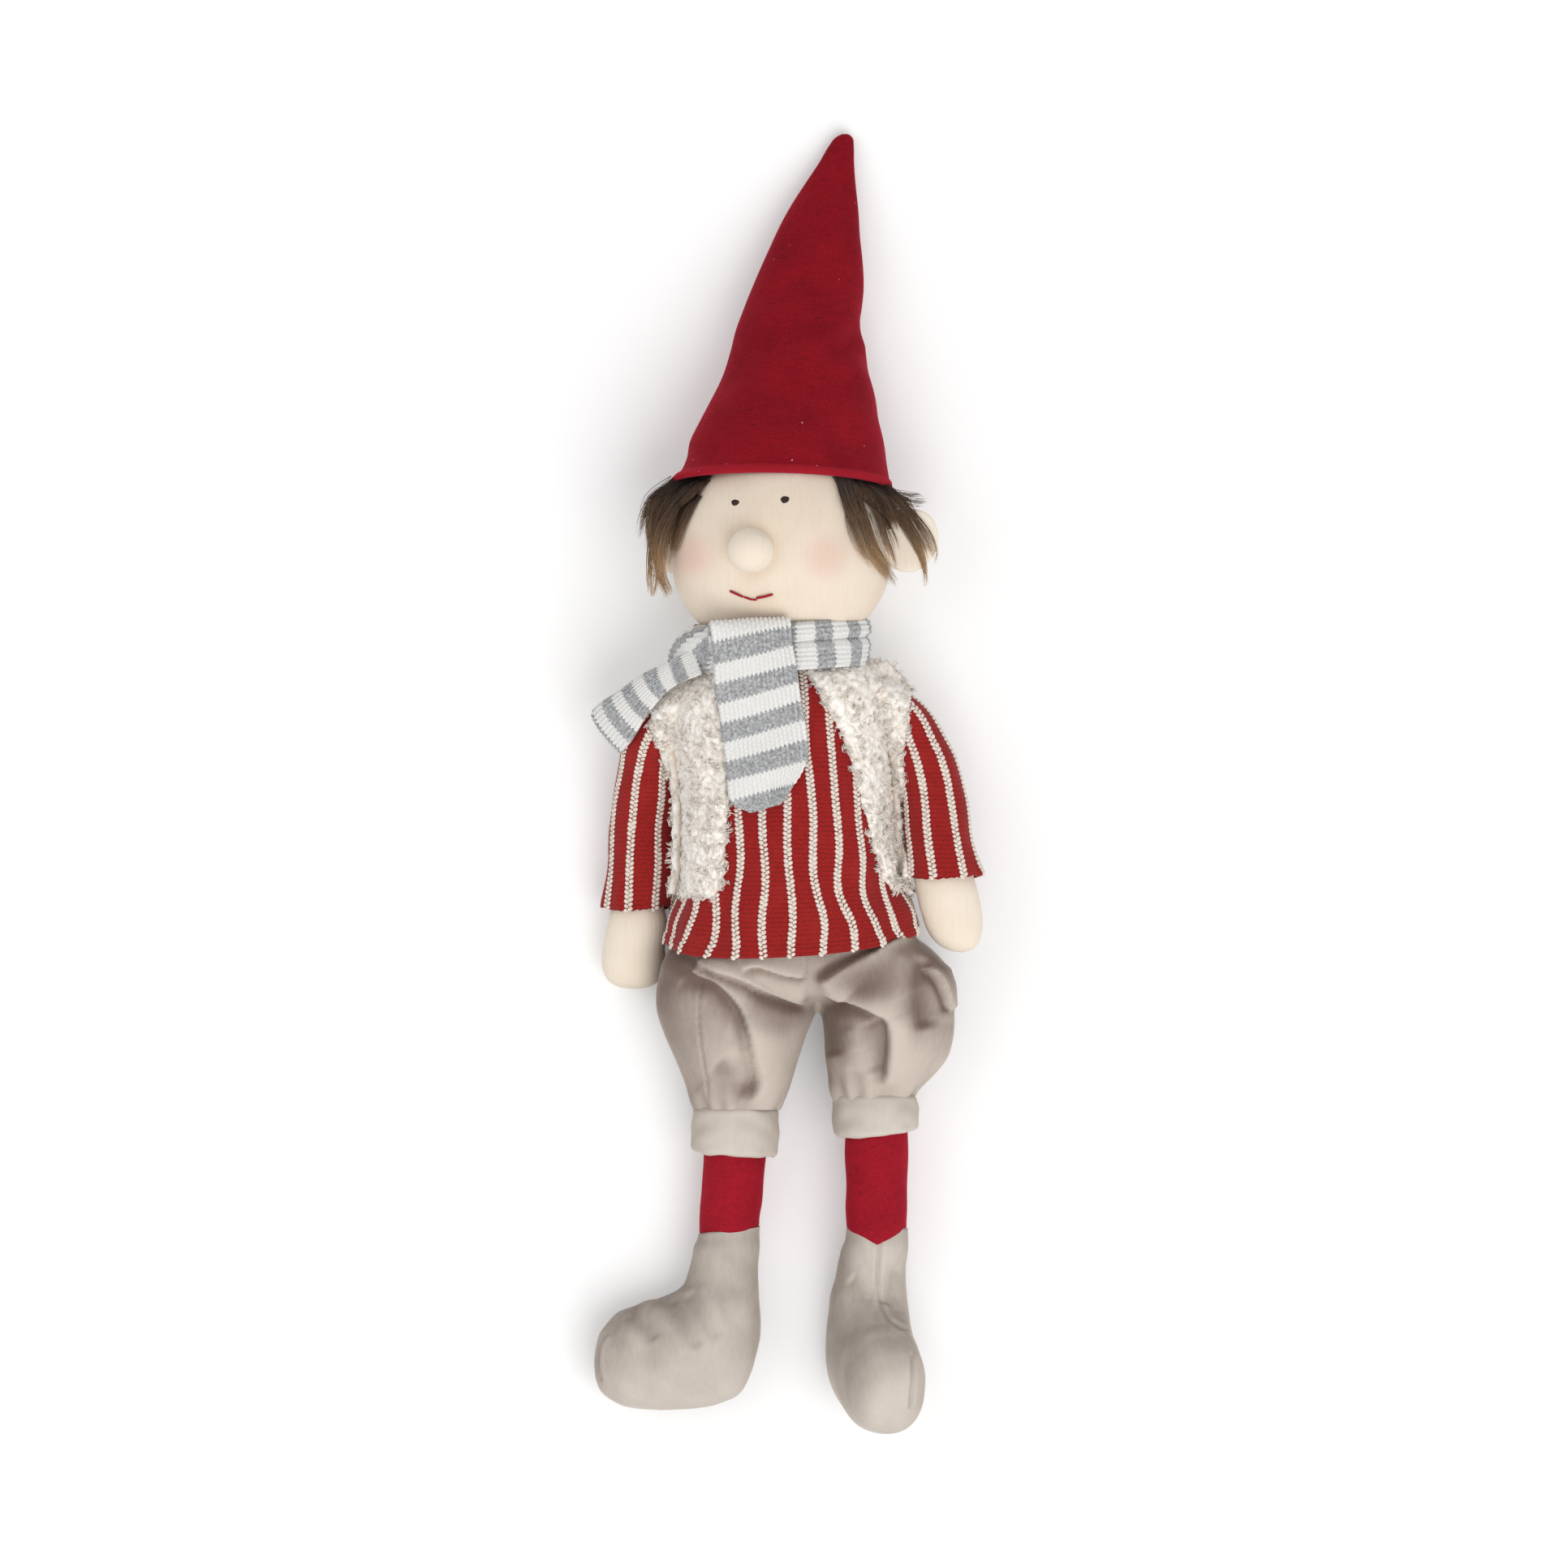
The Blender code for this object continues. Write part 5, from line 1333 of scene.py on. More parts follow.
def make_vest_front(side, wool, height_at):
    table = np.asarray(VEST_FRONTS[side])
    knots = -table[:, 0]

    def panel(across, along):
        y = table[0, 0] + (table[-1, 0] - table[0, 0]) * along
        low, high = fair(knots, table[:, 1:], -y).T
        end = smooth_step(along, 0.93, 1.0)
        middle = (low + high) / 2
        low, high = low + (middle - low) * 0.35 * end ** 2, high + (middle - high) * 0.35 * end ** 2
        x = high + (low - high) * across
        z = np.array([height_at(px, py) for px, py in zip(x, y)])
        return np.stack([x, y, z], axis=1)

    columns, rows = 60, 170
    piece = cloth("vest_front_" + side, wool, columns, rows, panel, (0.030, 0.107))
    points = points_of(piece)
    grid = points.reshape(rows + 1, columns + 1, 3)
    heights = grid[:, :, 2]
    for _ in range(30):
        wider = np.pad(heights, 1, mode="edge")
        around = (wider[:-2, 1:-1] + wider[2:, 1:-1] + wider[1:-1, :-2] + wider[1:-1, 2:]) / 4
        heights = np.maximum(heights, 0.5 * heights + 0.5 * around)
    grid[:, :, 2] = heights
    across = np.linspace(0, 1, columns + 1)[None, :]
    along = np.linspace(0, 1, rows + 1)[:, None]
    edge = np.minimum(np.minimum(across, 1 - across) * 6, np.minimum(along * 12, (1 - along) * 14))
    crown = np.sqrt(np.clip(edge, 0.0, 1.0))
    grid[:, :, 2] += 0.0006 + VEST_PILE * 0.75 * crown
    move_points(piece, grid.reshape(-1, 3))
    raise_face(piece, curls_at(points_of(piece), 61 if side == "left" else 62), 0.0022, 0.0028)
    return piece


def raise_face(piece, relief, height, thickness):
    """Give cloth a back, and raise a pattern on its face, which it keeps as a mark."""
    thicken(piece, thickness)
    relief = np.concatenate([relief, np.zeros(len(piece.data.vertices) - len(relief))])
    press(piece, lambda points, normals: height * relief * smooth_step(points[:, 2], 0.001, 0.008))
    mark_points(piece, "relief", relief)


def vest_back_points(turn, along):
    """The back of the vest, round from one side to the other."""
    y = VEST_BACK[0] + (VEST_BACK[1] - VEST_BACK[0]) * along
    table = np.asarray(BODY)
    _, x, z, wide, deep = fair(-table[:, 0], table[:, :5], -y).T
    c, s = rounded(0.485 + 0.53 * turn, BODY_SQUARENESS)
    up = settle(z + (deep + VEST_OUT) * s, 0.0004, 0.001)
    return np.stack([x + (wide + VEST_OUT) * c, y, up], axis=1)


def rim_pull(columns, rows):
    """How many more tufts a point of a panel's grid gets when it lies at the rim."""
    across = np.tile(np.abs(np.linspace(-1, 1, columns + 1)), rows + 1)
    along = np.repeat(np.abs(np.linspace(-1, 1, rows + 1)), columns + 1)
    return 1.0 + 3.5 * ((across > 0.90) | (along > 0.97))


def scatter_curls(name, material, pieces, pull, count, seed):
    """Short curly fibres that stand out of the fleece in small tufts."""
    draw = np.random.RandomState(seed)
    spots, ways = [], []
    for piece in pieces:
        points, normals = points_of(piece), normals_of(piece)
        half = len(points) // 2
        spots.append(points[:half])
        ways.append(normals[:half])
    spots, ways = np.concatenate(spots), np.concatenate(ways)
    tufts = count // FIBRES_IN_TUFT
    tuft = np.repeat(np.arange(tufts), FIBRES_IN_TUFT)
    pull = np.tile(pull, len(pieces))
    pick = draw.choice(len(spots), tufts, replace=False, p=pull / pull.sum())[tuft]
    start, out = spots[pick] + draw.normal(size=(len(tuft), 3)) * 0.0004, ways[pick]
    lean = draw.normal(size=(tufts, 3))[tuft]
    lean -= out * np.sum(out * lean, axis=1, keepdims=True)
    lean /= np.linalg.norm(lean, axis=1, keepdims=True)
    way = out * 0.75 + lean + 0.16 * draw.normal(size=(len(tuft), 3))
    way /= np.linalg.norm(way, axis=1, keepdims=True)
    side = np.cross(way, out)
    side /= np.linalg.norm(side, axis=1, keepdims=True)
    other = np.cross(way, side)
    at = np.linspace(0.0, 1.0, 6)
    reach = CURL_LENGTH * draw.uniform(0.55, 1.0, size=tufts)[tuft] * draw.uniform(0.75, 1.0, size=len(tuft))
    curl = 0.0011 * draw.uniform(0.6, 1.2, size=tufts)[tuft, None, None] * at[None, :, None] ** 0.6
    phase = draw.uniform(0, 2 * math.pi, size=tufts)[tuft] + 0.25 * draw.normal(size=len(tuft))
    phase = phase[:, None, None] + at[None, :, None] * 6.0
    paths = (start[:, None] - out[:, None] * 0.0008
             + way[:, None] * reach[:, None, None] * at[None, :, None] * 0.75
             + side[:, None] * curl * np.cos(phase) + other[:, None] * curl * np.sin(phase))
    paths[:, :, 2] = np.maximum(paths[:, :, 2], CLEAR_OF_FLOOR)
    return strands(name, material, paths, 0.00024, seed + 4, taper=0.45)


def make_vest(wool, curls):
    height_at = front_heights()
    right, left = [make_vest_front(side, wool, height_at) for side in ("right", "left")]
    back = cloth("vest_back", wool, 110, 84, vest_back_points, (0.150, 0.106))
    raise_face(back, curls_at(points_of(back), 64), 0.0020, 0.0026)
    dress(right, "vest_fleece", "vest")
    dress(left, "vest_fleece")
    dress(back, "vest_fleece")
    dress(scatter_curls("vest_front_curls", curls, (right, left), rim_pull(60, 170), 5200, 65), "vest_fleece")
    dress(scatter_curls("vest_back_curls", curls, (back,), rim_pull(110, 84), 2000, 75), "vest_fleece")


# Scarf


def rib_relief(across, along):
    """Height of the rib knit: round ribs that run along the scarf, notched at every course."""
    rib = np.abs(np.sin(math.pi * across / RIB)) ** 0.6
    course = 0.5 + 0.5 * np.cos(2 * math.pi * (along / 0.0021 + 0.5 * np.floor(across / RIB)))
    return rib * (0.5 + 0.5 * course)


def make_strip(name, wool, run, edges_at, side_way, bow, slant, columns, rows, stretch=1.0, slack=0.0):
    """A strip of rib knit that follows a run of points; edges_at gives its two half widths along it."""
    fold_at, fold_reach = 0.0190, 0.0065
    line = smooth_line(run, 24)
    along_line = np.concatenate(([0.0], np.cumsum(np.linalg.norm(np.diff(line, axis=0), axis=1))))
    length = along_line[-1]
    tangents = np.gradient(line, along_line, axis=0)
    width = 2 * np.max(edges_at(np.linspace(0, 1, 50)))

    def strip(across, along):
        at = along * length
        at = np.maximum(at - slack * np.exp(-((at - fold_at) / fold_reach) ** 2), 0.0)
        spot = np.stack([np.interp(at, along_line, line[:, axis]) for axis in range(3)], axis=1)
        way = np.stack([np.interp(at, along_line, tangents[:, axis]) for axis in range(3)], axis=1)
        way /= np.linalg.norm(way, axis=1, keepdims=True)
        side = np.array(side_way, float) - way * (way @ np.array(side_way, float))[:, None]
        side /= np.linalg.norm(side, axis=1, keepdims=True)
        up = np.cross(way, side)
        share = (0.5 - across) * 2
        left, right = edges_at(along)
        half = np.where(share > 0, right, left)
        edge = np.sqrt(np.clip(1 - np.abs(share) ** 5, 0, 1))
        lift = -bow * share ** 2 * smooth_step(along, 0.12, 0.34) + 0.0016 * (edge - 1.0)
        shear = slant * half * share * smooth_step(along, 0.16, 0.32)
        return spot + side * (half * share)[:, None] + up * lift[:, None] - way * shear[:, None]

    piece = cloth(name, wool, columns, rows, strip, (width, length * stretch))
    across, along = grid_shares(columns, rows)
    relief = rib_relief(width * across, length * stretch * along)
    press(piece, lambda points, normals: 0.0006 * ripple(points, 0.014, 71))
    raise_face(piece, relief, 0.0013, 0.0026)
    dress(piece, "scarf_knit")
    return piece, length


def tail_edges(along):
    """Half widths of the front end, which is cut aslant at the right of the picture."""
    full = 0.0180 + 0.0010 * smooth_step(along, 0.1, 0.8)
    left = np.clip((along - 0.90) / 0.10, 0.0, 1.0)
    right = np.clip((along - 0.80) / 0.20, 0.0, 1.0)
    return full * (1.0 - 0.45 * left ** 2.5), full * (1.0 - 0.80 * right ** 1.5)


def side_edges(along):
    """Half widths of the end over the shoulder, narrow where it comes out of the wrap."""
    half = 0.0058 + 0.0060 * smooth_step(along, 0.25, 1.0)
    return half, half


def make_scarf(wool):
    """The wrap round the neck, the end down the chest and the end over the shoulder."""
    loop_height, across_half, up_half = 0.0215, 0.0395, 0.0385
    girth = 2 * math.pi * 0.0390

    def wrap(across, along):
        share = (across - 0.5) * 2
        angle = 2 * math.pi * along - math.pi / 2
        c, s = np.cos(angle), np.sin(angle)
        knot = smooth_step(-c, 0.45, 0.95) * smooth_step(s, -0.45, 0.15)
        angle = angle - 0.42 * share * knot
        c, s = np.cos(angle), np.sin(angle)
        fold = 0.0024 * np.exp(-((share - 0.22) / 0.16) ** 2) * smooth_step(c, -0.2, 0.4)
        out = 0.0020 * (1 - np.abs(share) ** 3) - fold + 0.0007 * np.sin(3 * angle + 2 * share)
        out += 0.0022 * smooth_step(-share, 0.2, 1.0) * np.maximum(s, 0.0) + 0.0085 * knot * (1 - share ** 4)
        under_tail = np.exp(-((across_half * c + 0.0070) / 0.0135) ** 4) * smooth_step(s, 0.5, 0.9)
        out -= 0.0022 * under_tail * (1.0 - knot)
        middle = 0.0622 + 0.0030 * np.maximum(c, 0.0) - 0.0016 * knot
        y = middle + share * (loop_height / 2 + 0.0012 * knot)
        z = 0.0425 + (up_half + out * (1.0 - 0.5 * knot)) * s
        return np.stack([-0.0022 + (across_half + out) * c, y, settle(z, 0.0010, 0.001)], axis=1)

    columns, rows = 42, 320
    loop = cloth("scarf_neck_wrap", wool, columns, rows, wrap, (loop_height, girth))
    across, along = grid_shares(columns, rows)
    raise_face(loop, rib_relief(loop_height * across, girth * along), 0.0012, 0.0024)
    dress(loop, "scarf_knit", "scarf")
    tail, tail_length = make_strip("scarf_front_tail", wool, SCARF_TAIL, tail_edges, (1.0, 0.04, 0.0),
                                   0.0024, 0.15, 72, 168, slack=0.0030)
    side, side_length = make_strip("scarf_side_tail", wool, SCARF_SIDE, side_edges, (0.62, -0.70, 0.35),
                                   0.0016, 0.0, 44, 110, 1.28)


# Trousers

RIDGES_RIGHT_LEG = (
    # The flap that falls from the hip to the cuff
    (((-0.0498, -0.0773), (-0.0399, -0.0859), (-0.0300, -0.0905), (-0.0202, -0.1010), (-0.0151, -0.1145),
      (-0.0127, -0.1269), (-0.0105, -0.1366), (-0.0127, -0.1430), (-0.0170, -0.1490)), 0.0036, 0.0042, 0.0100),
    # The roll of cloth from the hip to the crotch
    (((-0.0420, -0.0790), (-0.0325, -0.0840), (-0.0202, -0.0885), (-0.0078, -0.0947), (0.0071, -0.0996),
      (0.0120, -0.1000)), 0.0028, 0.0040, 0.0070),
    # The short sharp one under the hem
    (((-0.0200, -0.0845), (-0.0127, -0.0829), (-0.0004, -0.0866), (0.0108, -0.0885)), 0.0020, 0.0030, 0.0040),
)
RIDGES_LEFT_LEG = (
    # The upper edge of the flap, from the hip to the crotch
    (((0.0640, -0.0655), (0.0429, -0.0761), (0.0369, -0.0786), (0.0245, -0.0854), (0.0140, -0.0933)),
     0.0026, 0.0042, 0.0060),
    # Its lower edge, from the crotch to the cuff
    (((0.0140, -0.0955), (0.0245, -0.0975), (0.0343, -0.1008), (0.0418, -0.1045), (0.0475, -0.1080),
      (0.0493, -0.1169), (0.0481, -0.1318), (0.0450, -0.1404)), 0.0034, 0.0044, 0.0085),
    # The fold at the outer side
    (((0.0641, -0.0829), (0.0703, -0.0872), (0.0740, -0.0946), (0.0771, -0.1045)), 0.0024, 0.0034, 0.0055),
)
VALLEYS = (
    (((0.0653, -0.0790), (0.0632, -0.0900), (0.0629, -0.1008), (0.0653, -0.1131)), 0.0026, 0.0050),
    (((-0.0520, -0.0740), (-0.0460, -0.0790), (-0.0400, -0.0840)), 0.0030, 0.0040),
    (((-0.0330, -0.1290), (-0.0250, -0.1350), (-0.0160, -0.1425)), 0.0018, 0.0055),
    (((0.0180, -0.1000), (0.0200, -0.1130), (0.0220, -0.1260)), 0.0014, 0.0050),
    (((0.0400, -0.1080), (0.0430, -0.1200), (0.0425, -0.1340)), 0.0022, 0.0050),
)
SEAMS = (
    ((-0.0380, -0.0860), (-0.0392, -0.1000), (-0.0391, -0.1120), (-0.0380, -0.1220), (-0.0345, -0.1480)),
    ((0.0108, -0.0760), (0.0108, -0.0880)),
)


BETWEEN_LEGS = 0.0120
# The way the painted light comes from: from the feet and from above the front
PAINTED_LIGHT_WAY = np.array((0.14, -0.84, 0.52))
FOLD_REACH = 0.0040


PAINTED_SHADE_PATCHES = (
    # Soft patches of painted shade over the folds and the flap: across, along, half width, half length, how
    # much darker
    (-0.0060, -0.1060, 0.0160, 0.0110, 0.36),
    (0.0400, -0.0885, 0.0230, 0.0115, 0.34),
    (-0.0450, -0.0860, 0.0150, 0.0110, 0.18),
    (0.0600, -0.1060, 0.0120, 0.0120, 0.20),
    (0.0265, -0.1130, 0.0060, 0.0150, 0.14),
    (-0.0240, -0.1300, 0.0090, 0.0045, 0.14),
)


def painted_shade_patches(points):
    """How much painted shade the trousers get in soft patches."""
    dark = np.zeros(len(points))
    for x, y, wide, long, depth in PAINTED_SHADE_PATCHES:
        away = ((points[:, 0] - x) / wide) ** 2 + ((points[:, 1] - y) / long) ** 2
        dark = np.maximum(dark, depth * np.exp(-away ** 2))
    return dark


def paint_light_on_pile(piece, base, strength, folds=0.0):
    """Mark painted light and shade on the pile: lighter where it faces the light from the feet, painted
    highlights on the folds and painted shade in the dips.
    """
    light = base + strength * (normals_of(piece) @ PAINTED_LIGHT_WAY) + 0.40 * np.clip(folds / FOLD_REACH, -1.0, 1.0)
    mark_points(piece, "nap_and_painted_light", np.clip(light, 0.0, 1.0))


def gathers(points, middle, top, low):
    """Small pleats that meet a cuff."""
    near = smooth_step(-points[:, 1], -top, -low)
    angle = np.arctan2(points[:, 2] - 0.027, points[:, 0] - middle)
    return near * 0.0006 * np.sin(9 * angle + 1.6 * np.sin(3 * angle))


def trouser_folds(points, normals):
    """How far the velvet stands off its plain form: folds, dips, seams and the pleats at the cuffs."""
    total = 0.0008 * ripple(points, 0.022, 81)
    for line, height, low, width in RIDGES_RIGHT_LEG + RIDGES_LEFT_LEG:
        total = total + overhang(points, normals, line, height, low, width)
    for line, depth, width in VALLEYS:
        total = total + crease(points, normals, line, depth, width, depth * 0.3)
    for line in SEAMS:
        total = total + crease(points, normals, line, 0.0007, 0.0006, 0.0002)
    return total + np.where(points[:, 0] < BETWEEN_LEGS, gathers(points, -0.0222, -0.1330, -0.1500),
                            gathers(points, 0.0420, -0.1270, -0.1440))


def smooth_cloth(shape):
    for _ in range(5):
        bmesh.ops.smooth_vert(shape, verts=shape.verts, factor=0.5, use_axis_x=True, use_axis_y=True,
                              use_axis_z=True)


def open_ends(shape):
    """Cut the trousers open at the waist and at the cuffs."""
    cut_plane(shape, (0, -0.0560, 0), (0, 1, 0), clear=True)
    cut_plane(shape, (0, -0.1500, 0), (0, -1, 0), clear=True)


def make_trousers(pile):
    """The velvet shell: seat and legs blended to one cloth, then folded, cut open and given a thickness."""
    parts = [("seat", TROUSER_SEAT, BODY_SQUARENESS)]
    parts += [("leg_" + side, table, 2.0) for side, table in TROUSER_LEGS.items()]
    joined = bmesh.new()
    for name, table, squareness in parts:
        closed = [(table[0][0] + 0.0005, *table[0][1:3], 0.0001, 0.0001)] + list(table)
        if table[-1][3] > 0.001:
            closed += [(table[-1][0] - 0.0005, *table[-1][1:3], 0.0001, 0.0001)]
        rough = cloth("trouser_" + name, None, 72, 72, lambda turn, along: oval_points(
            closed, turn, along, squareness, CLEAR_OF_FLOOR), closed=True)
        joined.from_mesh(rough.data)
        bpy.data.objects.remove(rough, do_unlink=True)
    mesh = bpy.data.meshes.new("trousers")
    joined.to_mesh(mesh)
    joined.free()
    trousers = add_object("trousers", mesh, None)
    blend = trousers.modifiers.new("one_cloth", 'REMESH')
    blend.mode = 'VOXEL'
    blend.voxel_size = 0.0014
    freeze(trousers)
    rework(trousers, smooth_cloth)
    offset = press(trousers, trouser_folds)
    lift_to(trousers, CLEAR_OF_FLOOR)
    points = points_of(trousers)
    # Painted light: the trousers grow lighter towards the cuffs, where they face the light, less the patches of
    # painted shade
    low = smooth_step(-points[:, 1], 0.084, 0.132)
    paint_light_on_pile(trousers, 0.07 + 0.23 * low - painted_shade_patches(points), 0.56, offset)
    rework(trousers, open_ends)
    trousers.data.shade_smooth()
    trousers.data.materials.append(pile)
    thicken(trousers, 0.0012)
    dress(trousers, "trouser_velvet", "trousers")


def leg_table(side):
    rows = [(y, x, z, LEG_HALF, LEG_HALF) for y, x, z in LEG_RUNS[side]]
    first, last = rows[0], rows[-1]
    start = [(first[0] + 0.0004, *first[1:3], 0.0001, 0.0001), first, (first[0] - 0.0012, *first[1:])]
    end = [(last[0] + 0.0012, *last[1:]), last, (last[0] - 0.0004, *last[1:3], 0.0001, 0.0001)]
    return start + rows[1:-1] + end


def ankle_shift(side, points):
    """How far the seam between stocking and boot lies above or below the ankle's height."""
    if side == "left":
        return np.zeros(len(points))
    return 0.0019 * (points[:, 0] - LEG_RUNS[side][-1][1]) / LEG_HALF - 0.0008


def make_leg(side, wool):
    table = leg_table(side)
    leg = cloth("leg_" + side, wool, 56, 100, partial(oval_points, table), closed=True)
    press(leg, lambda points, normals: 0.00030 * ripple(points, 0.011, 91 if side == "left" else 92))
    points = points_of(leg)
    low = 1.0 - smooth_step(points[:, 1], ANKLE, ANKLE + 0.012)
    across = (points[:, 0] - LEG_RUNS[side][-1][1]) / LEG_HALF
    middle = LEG_RUNS[side][-1][2]
    front = smooth_step(points[:, 2], middle - 0.002, middle + 0.006)
    point = 0.0062 * (1.0 - np.abs(across)) * front if side == "left" else 0.0
    points[:, 1] += (ankle_shift(side, points) - point) * low
    points[:, 0] -= 0.0006 * across * low
    points[:, 2] += (0.0018 if side == "left" else 0.0004) * front * low
    move_points(leg, points)
    dress(leg, "stocking_felt", "leg_" + side)


def make_cuff(side, pile):
    """A folded velvet band that gathers the trouser leg: its face first, then its back."""
    top, bottom = CUFF_SPANS[side]
    runs = np.array(LEG_RUNS[side])

    def band(turn, along):
        face = along <= 0.5
        down = np.clip(along * 2, 0, 1)
        back = np.clip(along * 2 - 1, 0, 1)
        y = np.where(face, top + (bottom - top) * down, bottom + (top - bottom) * back)
        rim = np.minimum(np.minimum(along, np.abs(along - 0.5)), 1 - along)
        curl = CUFF_ROLL * np.exp(-(rim / 0.022) ** 2)
        out = np.where(face, -curl, curl - CUFF_DEPTH) + 0.0008 * np.sin(math.pi * down) * face
        x = np.interp(-y, -runs[:, 0], runs[:, 1])
        z = np.interp(-y, -runs[:, 0], runs[:, 2])
        c, s = np.cos(2 * math.pi * turn), np.sin(2 * math.pi * turn)
        tilt = CUFF_TILT[side] * c * smooth_step(down, 0.3, 1.0) - 0.0015 * s * down
        return np.stack([x + (CUFF_HALF[0] + out) * c, y + tilt, z + (CUFF_HALF[1] + out) * s], axis=1)

    cuff = cloth("trouser_cuff_" + side, pile, 80, 44, band, closed=True)
    press(cuff, lambda points, normals: 0.0003 * ripple(points, 0.009, 95) + 0.0002 * ripple(points, 0.004, 96))
    # Painted light and shade on the cuff, by which way its surface faces
    paint_light_on_pile(cuff, 0.38, 0.50)
    dress(cuff, "trouser_velvet", "trouser_cuff_" + side)


# Boots


def boot_frame(side):
    """The ankle, and the ways ahead and down: those of the foot, then those of the leg above it."""
    last = LEG_RUNS[side][-1]
    ankle = np.array((last[1], last[0] - 0.0003, last[2]))
    leg_down = Vector((0.0, -1.0, 0.0))
    ahead = Vector(BOOT_TOES[side]).normalized()
    down = (leg_down - ahead * leg_down.dot(ahead)).normalized()
    leg_ahead = Vector((ahead.x, 0.0, ahead.z)).normalized()
    return ankle, np.array(ahead), np.array(down), np.array(leg_ahead), np.array(leg_down)


BOOT_CREASES = {
    "right": (
        (((-0.0520, -0.2350), (-0.0455, -0.2460), (-0.0385, -0.2600)), 0.0016, 0.0034),
        (((-0.0450, -0.2330), (-0.0385, -0.2440), (-0.0300, -0.2560)), 0.0014, 0.0032),
        (((-0.0720, -0.2430), (-0.0640, -0.2490), (-0.0590, -0.2560)), 0.0010, 0.0036),
        (((-0.0815, -0.2520), (-0.0852, -0.2600), (-0.0858, -0.2690), (-0.0840, -0.2760)), 0.0011, 0.0009),
    ),
    "left": (
        (((0.0440, -0.2070), (0.0433, -0.2310), (0.0467, -0.2438), (0.0520, -0.2490), (0.0600, -0.2525)),
         0.0011, 0.0009),
        (((0.0582, -0.2600), (0.0588, -0.2720), (0.0579, -0.2880)), 0.0011, 0.0009),
        (((0.0300, -0.2270), (0.0370, -0.2330), (0.0430, -0.2340)), 0.0012, 0.0034),
        (((0.0520, -0.2230), (0.0495, -0.2310), (0.0460, -0.2400)), 0.0010, 0.0032),
    ),
}


def make_boot(side, pile):
    ankle, foot_ahead, foot_down, leg_ahead, leg_down = boot_frame(side)
    fronts = np.array([loop[0] for loop in BOOT_LOOPS])
    backs = np.array([loop[1] for loop in BOOT_LOOPS])
    halves = np.array([loop[2] for loop in BOOT_LOOPS])
    middles = (fronts + backs) / 2
    reach = np.hypot(*(fronts - backs).T) / 2
    steps = np.hypot(np.hypot(*np.diff(middles, axis=0).T), np.diff(reach))
    knots = np.concatenate(([0.0], np.cumsum(steps)))
    table = np.column_stack([fronts, backs, halves])

    def form(turn, along):
        at = (along - 0.02) / 0.98 * knots[-1]
        rows = fair(knots, table, np.maximum(at, 0.0))
        cap = np.clip(along / 0.02, 0.0, 1.0)
        c, s = rounded(turn, 2.15)
        ease = smooth_step(rows[:, 1] + rows[:, 3], 0.0, 0.030)[:, None]
        ahead = leg_ahead * (1 - ease) + foot_ahead * ease
        ahead /= np.linalg.norm(ahead, axis=1, keepdims=True)
        under = leg_down * (1 - ease) + foot_down * ease
        under /= np.linalg.norm(under, axis=1, keepdims=True)
        thick = np.cross(ahead, under)
        first = ahead * rows[:, 0:1] + under * rows[:, 1:2]
        second = ahead * rows[:, 2:3] + under * rows[:, 3:4]
        ring = (first - second) / 2 * c[:, None] + thick * (rows[:, 4] * s)[:, None]
        spot = ankle + ((first + second) / 2 + ring * cap[:, None])
        spot[:, 2] = settle(spot[:, 2], CLEAR_OF_FLOOR, 0.001)
        return spot

    boot = cloth("boot_" + side, pile, 128, 128, form, closed=True)
    rework(boot, lambda shape: bmesh.ops.recalc_face_normals(shape, faces=shape.faces))

    def stuffing(points, normals):
        total = 0.0005 * ripple(points, 0.020, 101) + 0.00015 * ripple(points, 0.006, 102)
        for line, depth, width in BOOT_CREASES[side]:
            total = total + crease(points, normals, line, depth, width, depth * 0.35)
        return total - 0.0005 * smooth_step(points[:, 1], ankle[1] - 0.010, ankle[1] - 0.003)

    relief = press(boot, stuffing)
    points = points_of(boot)
    points[:, 1] += ankle_shift(side, points) * smooth_step(points[:, 1], ankle[1] - 0.012, ankle[1] - 0.001)
    points[:, 2] = np.maximum(points[:, 2], CLEAR_OF_FLOOR)
    move_points(boot, points)
    # Painted light and shade on the boot: by which way it faces, with painted shade in its creases
    paint_light_on_pile(boot, 0.47, 0.30, relief * 0.8)
    dress(boot, "boot_velvet", "boot_" + side)


# The doll

# The fifth colour of each felt is the painted highlight along its rolled hem
felt_red = felt("hat_red_felt", colour(118, 14, 25), colour(150, 21, 34), colour(62, 10, 18),
                colour(182, 36, 52), (220.0, 1000.0, 220.0))
stocking_red = felt("stocking_red_felt", colour(138, 21, 35), colour(168, 28, 44), colour(94, 15, 25),
                    colour(168, 28, 44), (300.0, 380.0, 300.0))
face_jersey = jersey("face_cream_jersey", colour(237, 222, 204), colour(229, 211, 191), blush=True)
hand_jersey = jersey("cream_jersey", colour(243, 231, 214), colour(236, 221, 201))
trouser_velvet = velvet("trouser_taupe_velvet", colour(116, 98, 89), colour(204, 192, 180), 26.0)
cuff_velvet = velvet("cuff_taupe_velvet", colour(170, 157, 146), colour(214, 205, 194), 40.0)
boot_velvet = velvet("boot_taupe_velvet", colour(126, 113, 103), colour(210, 200, 190), 34.0)
red_knit = striped_knit()
cream_yarn = stitch_yarn()
scarf_wool = rib_knit()
vest_wool = fleece()
curl_wool = fleece_curl()
hair_pile = fur()
hair_under = fur_backing()

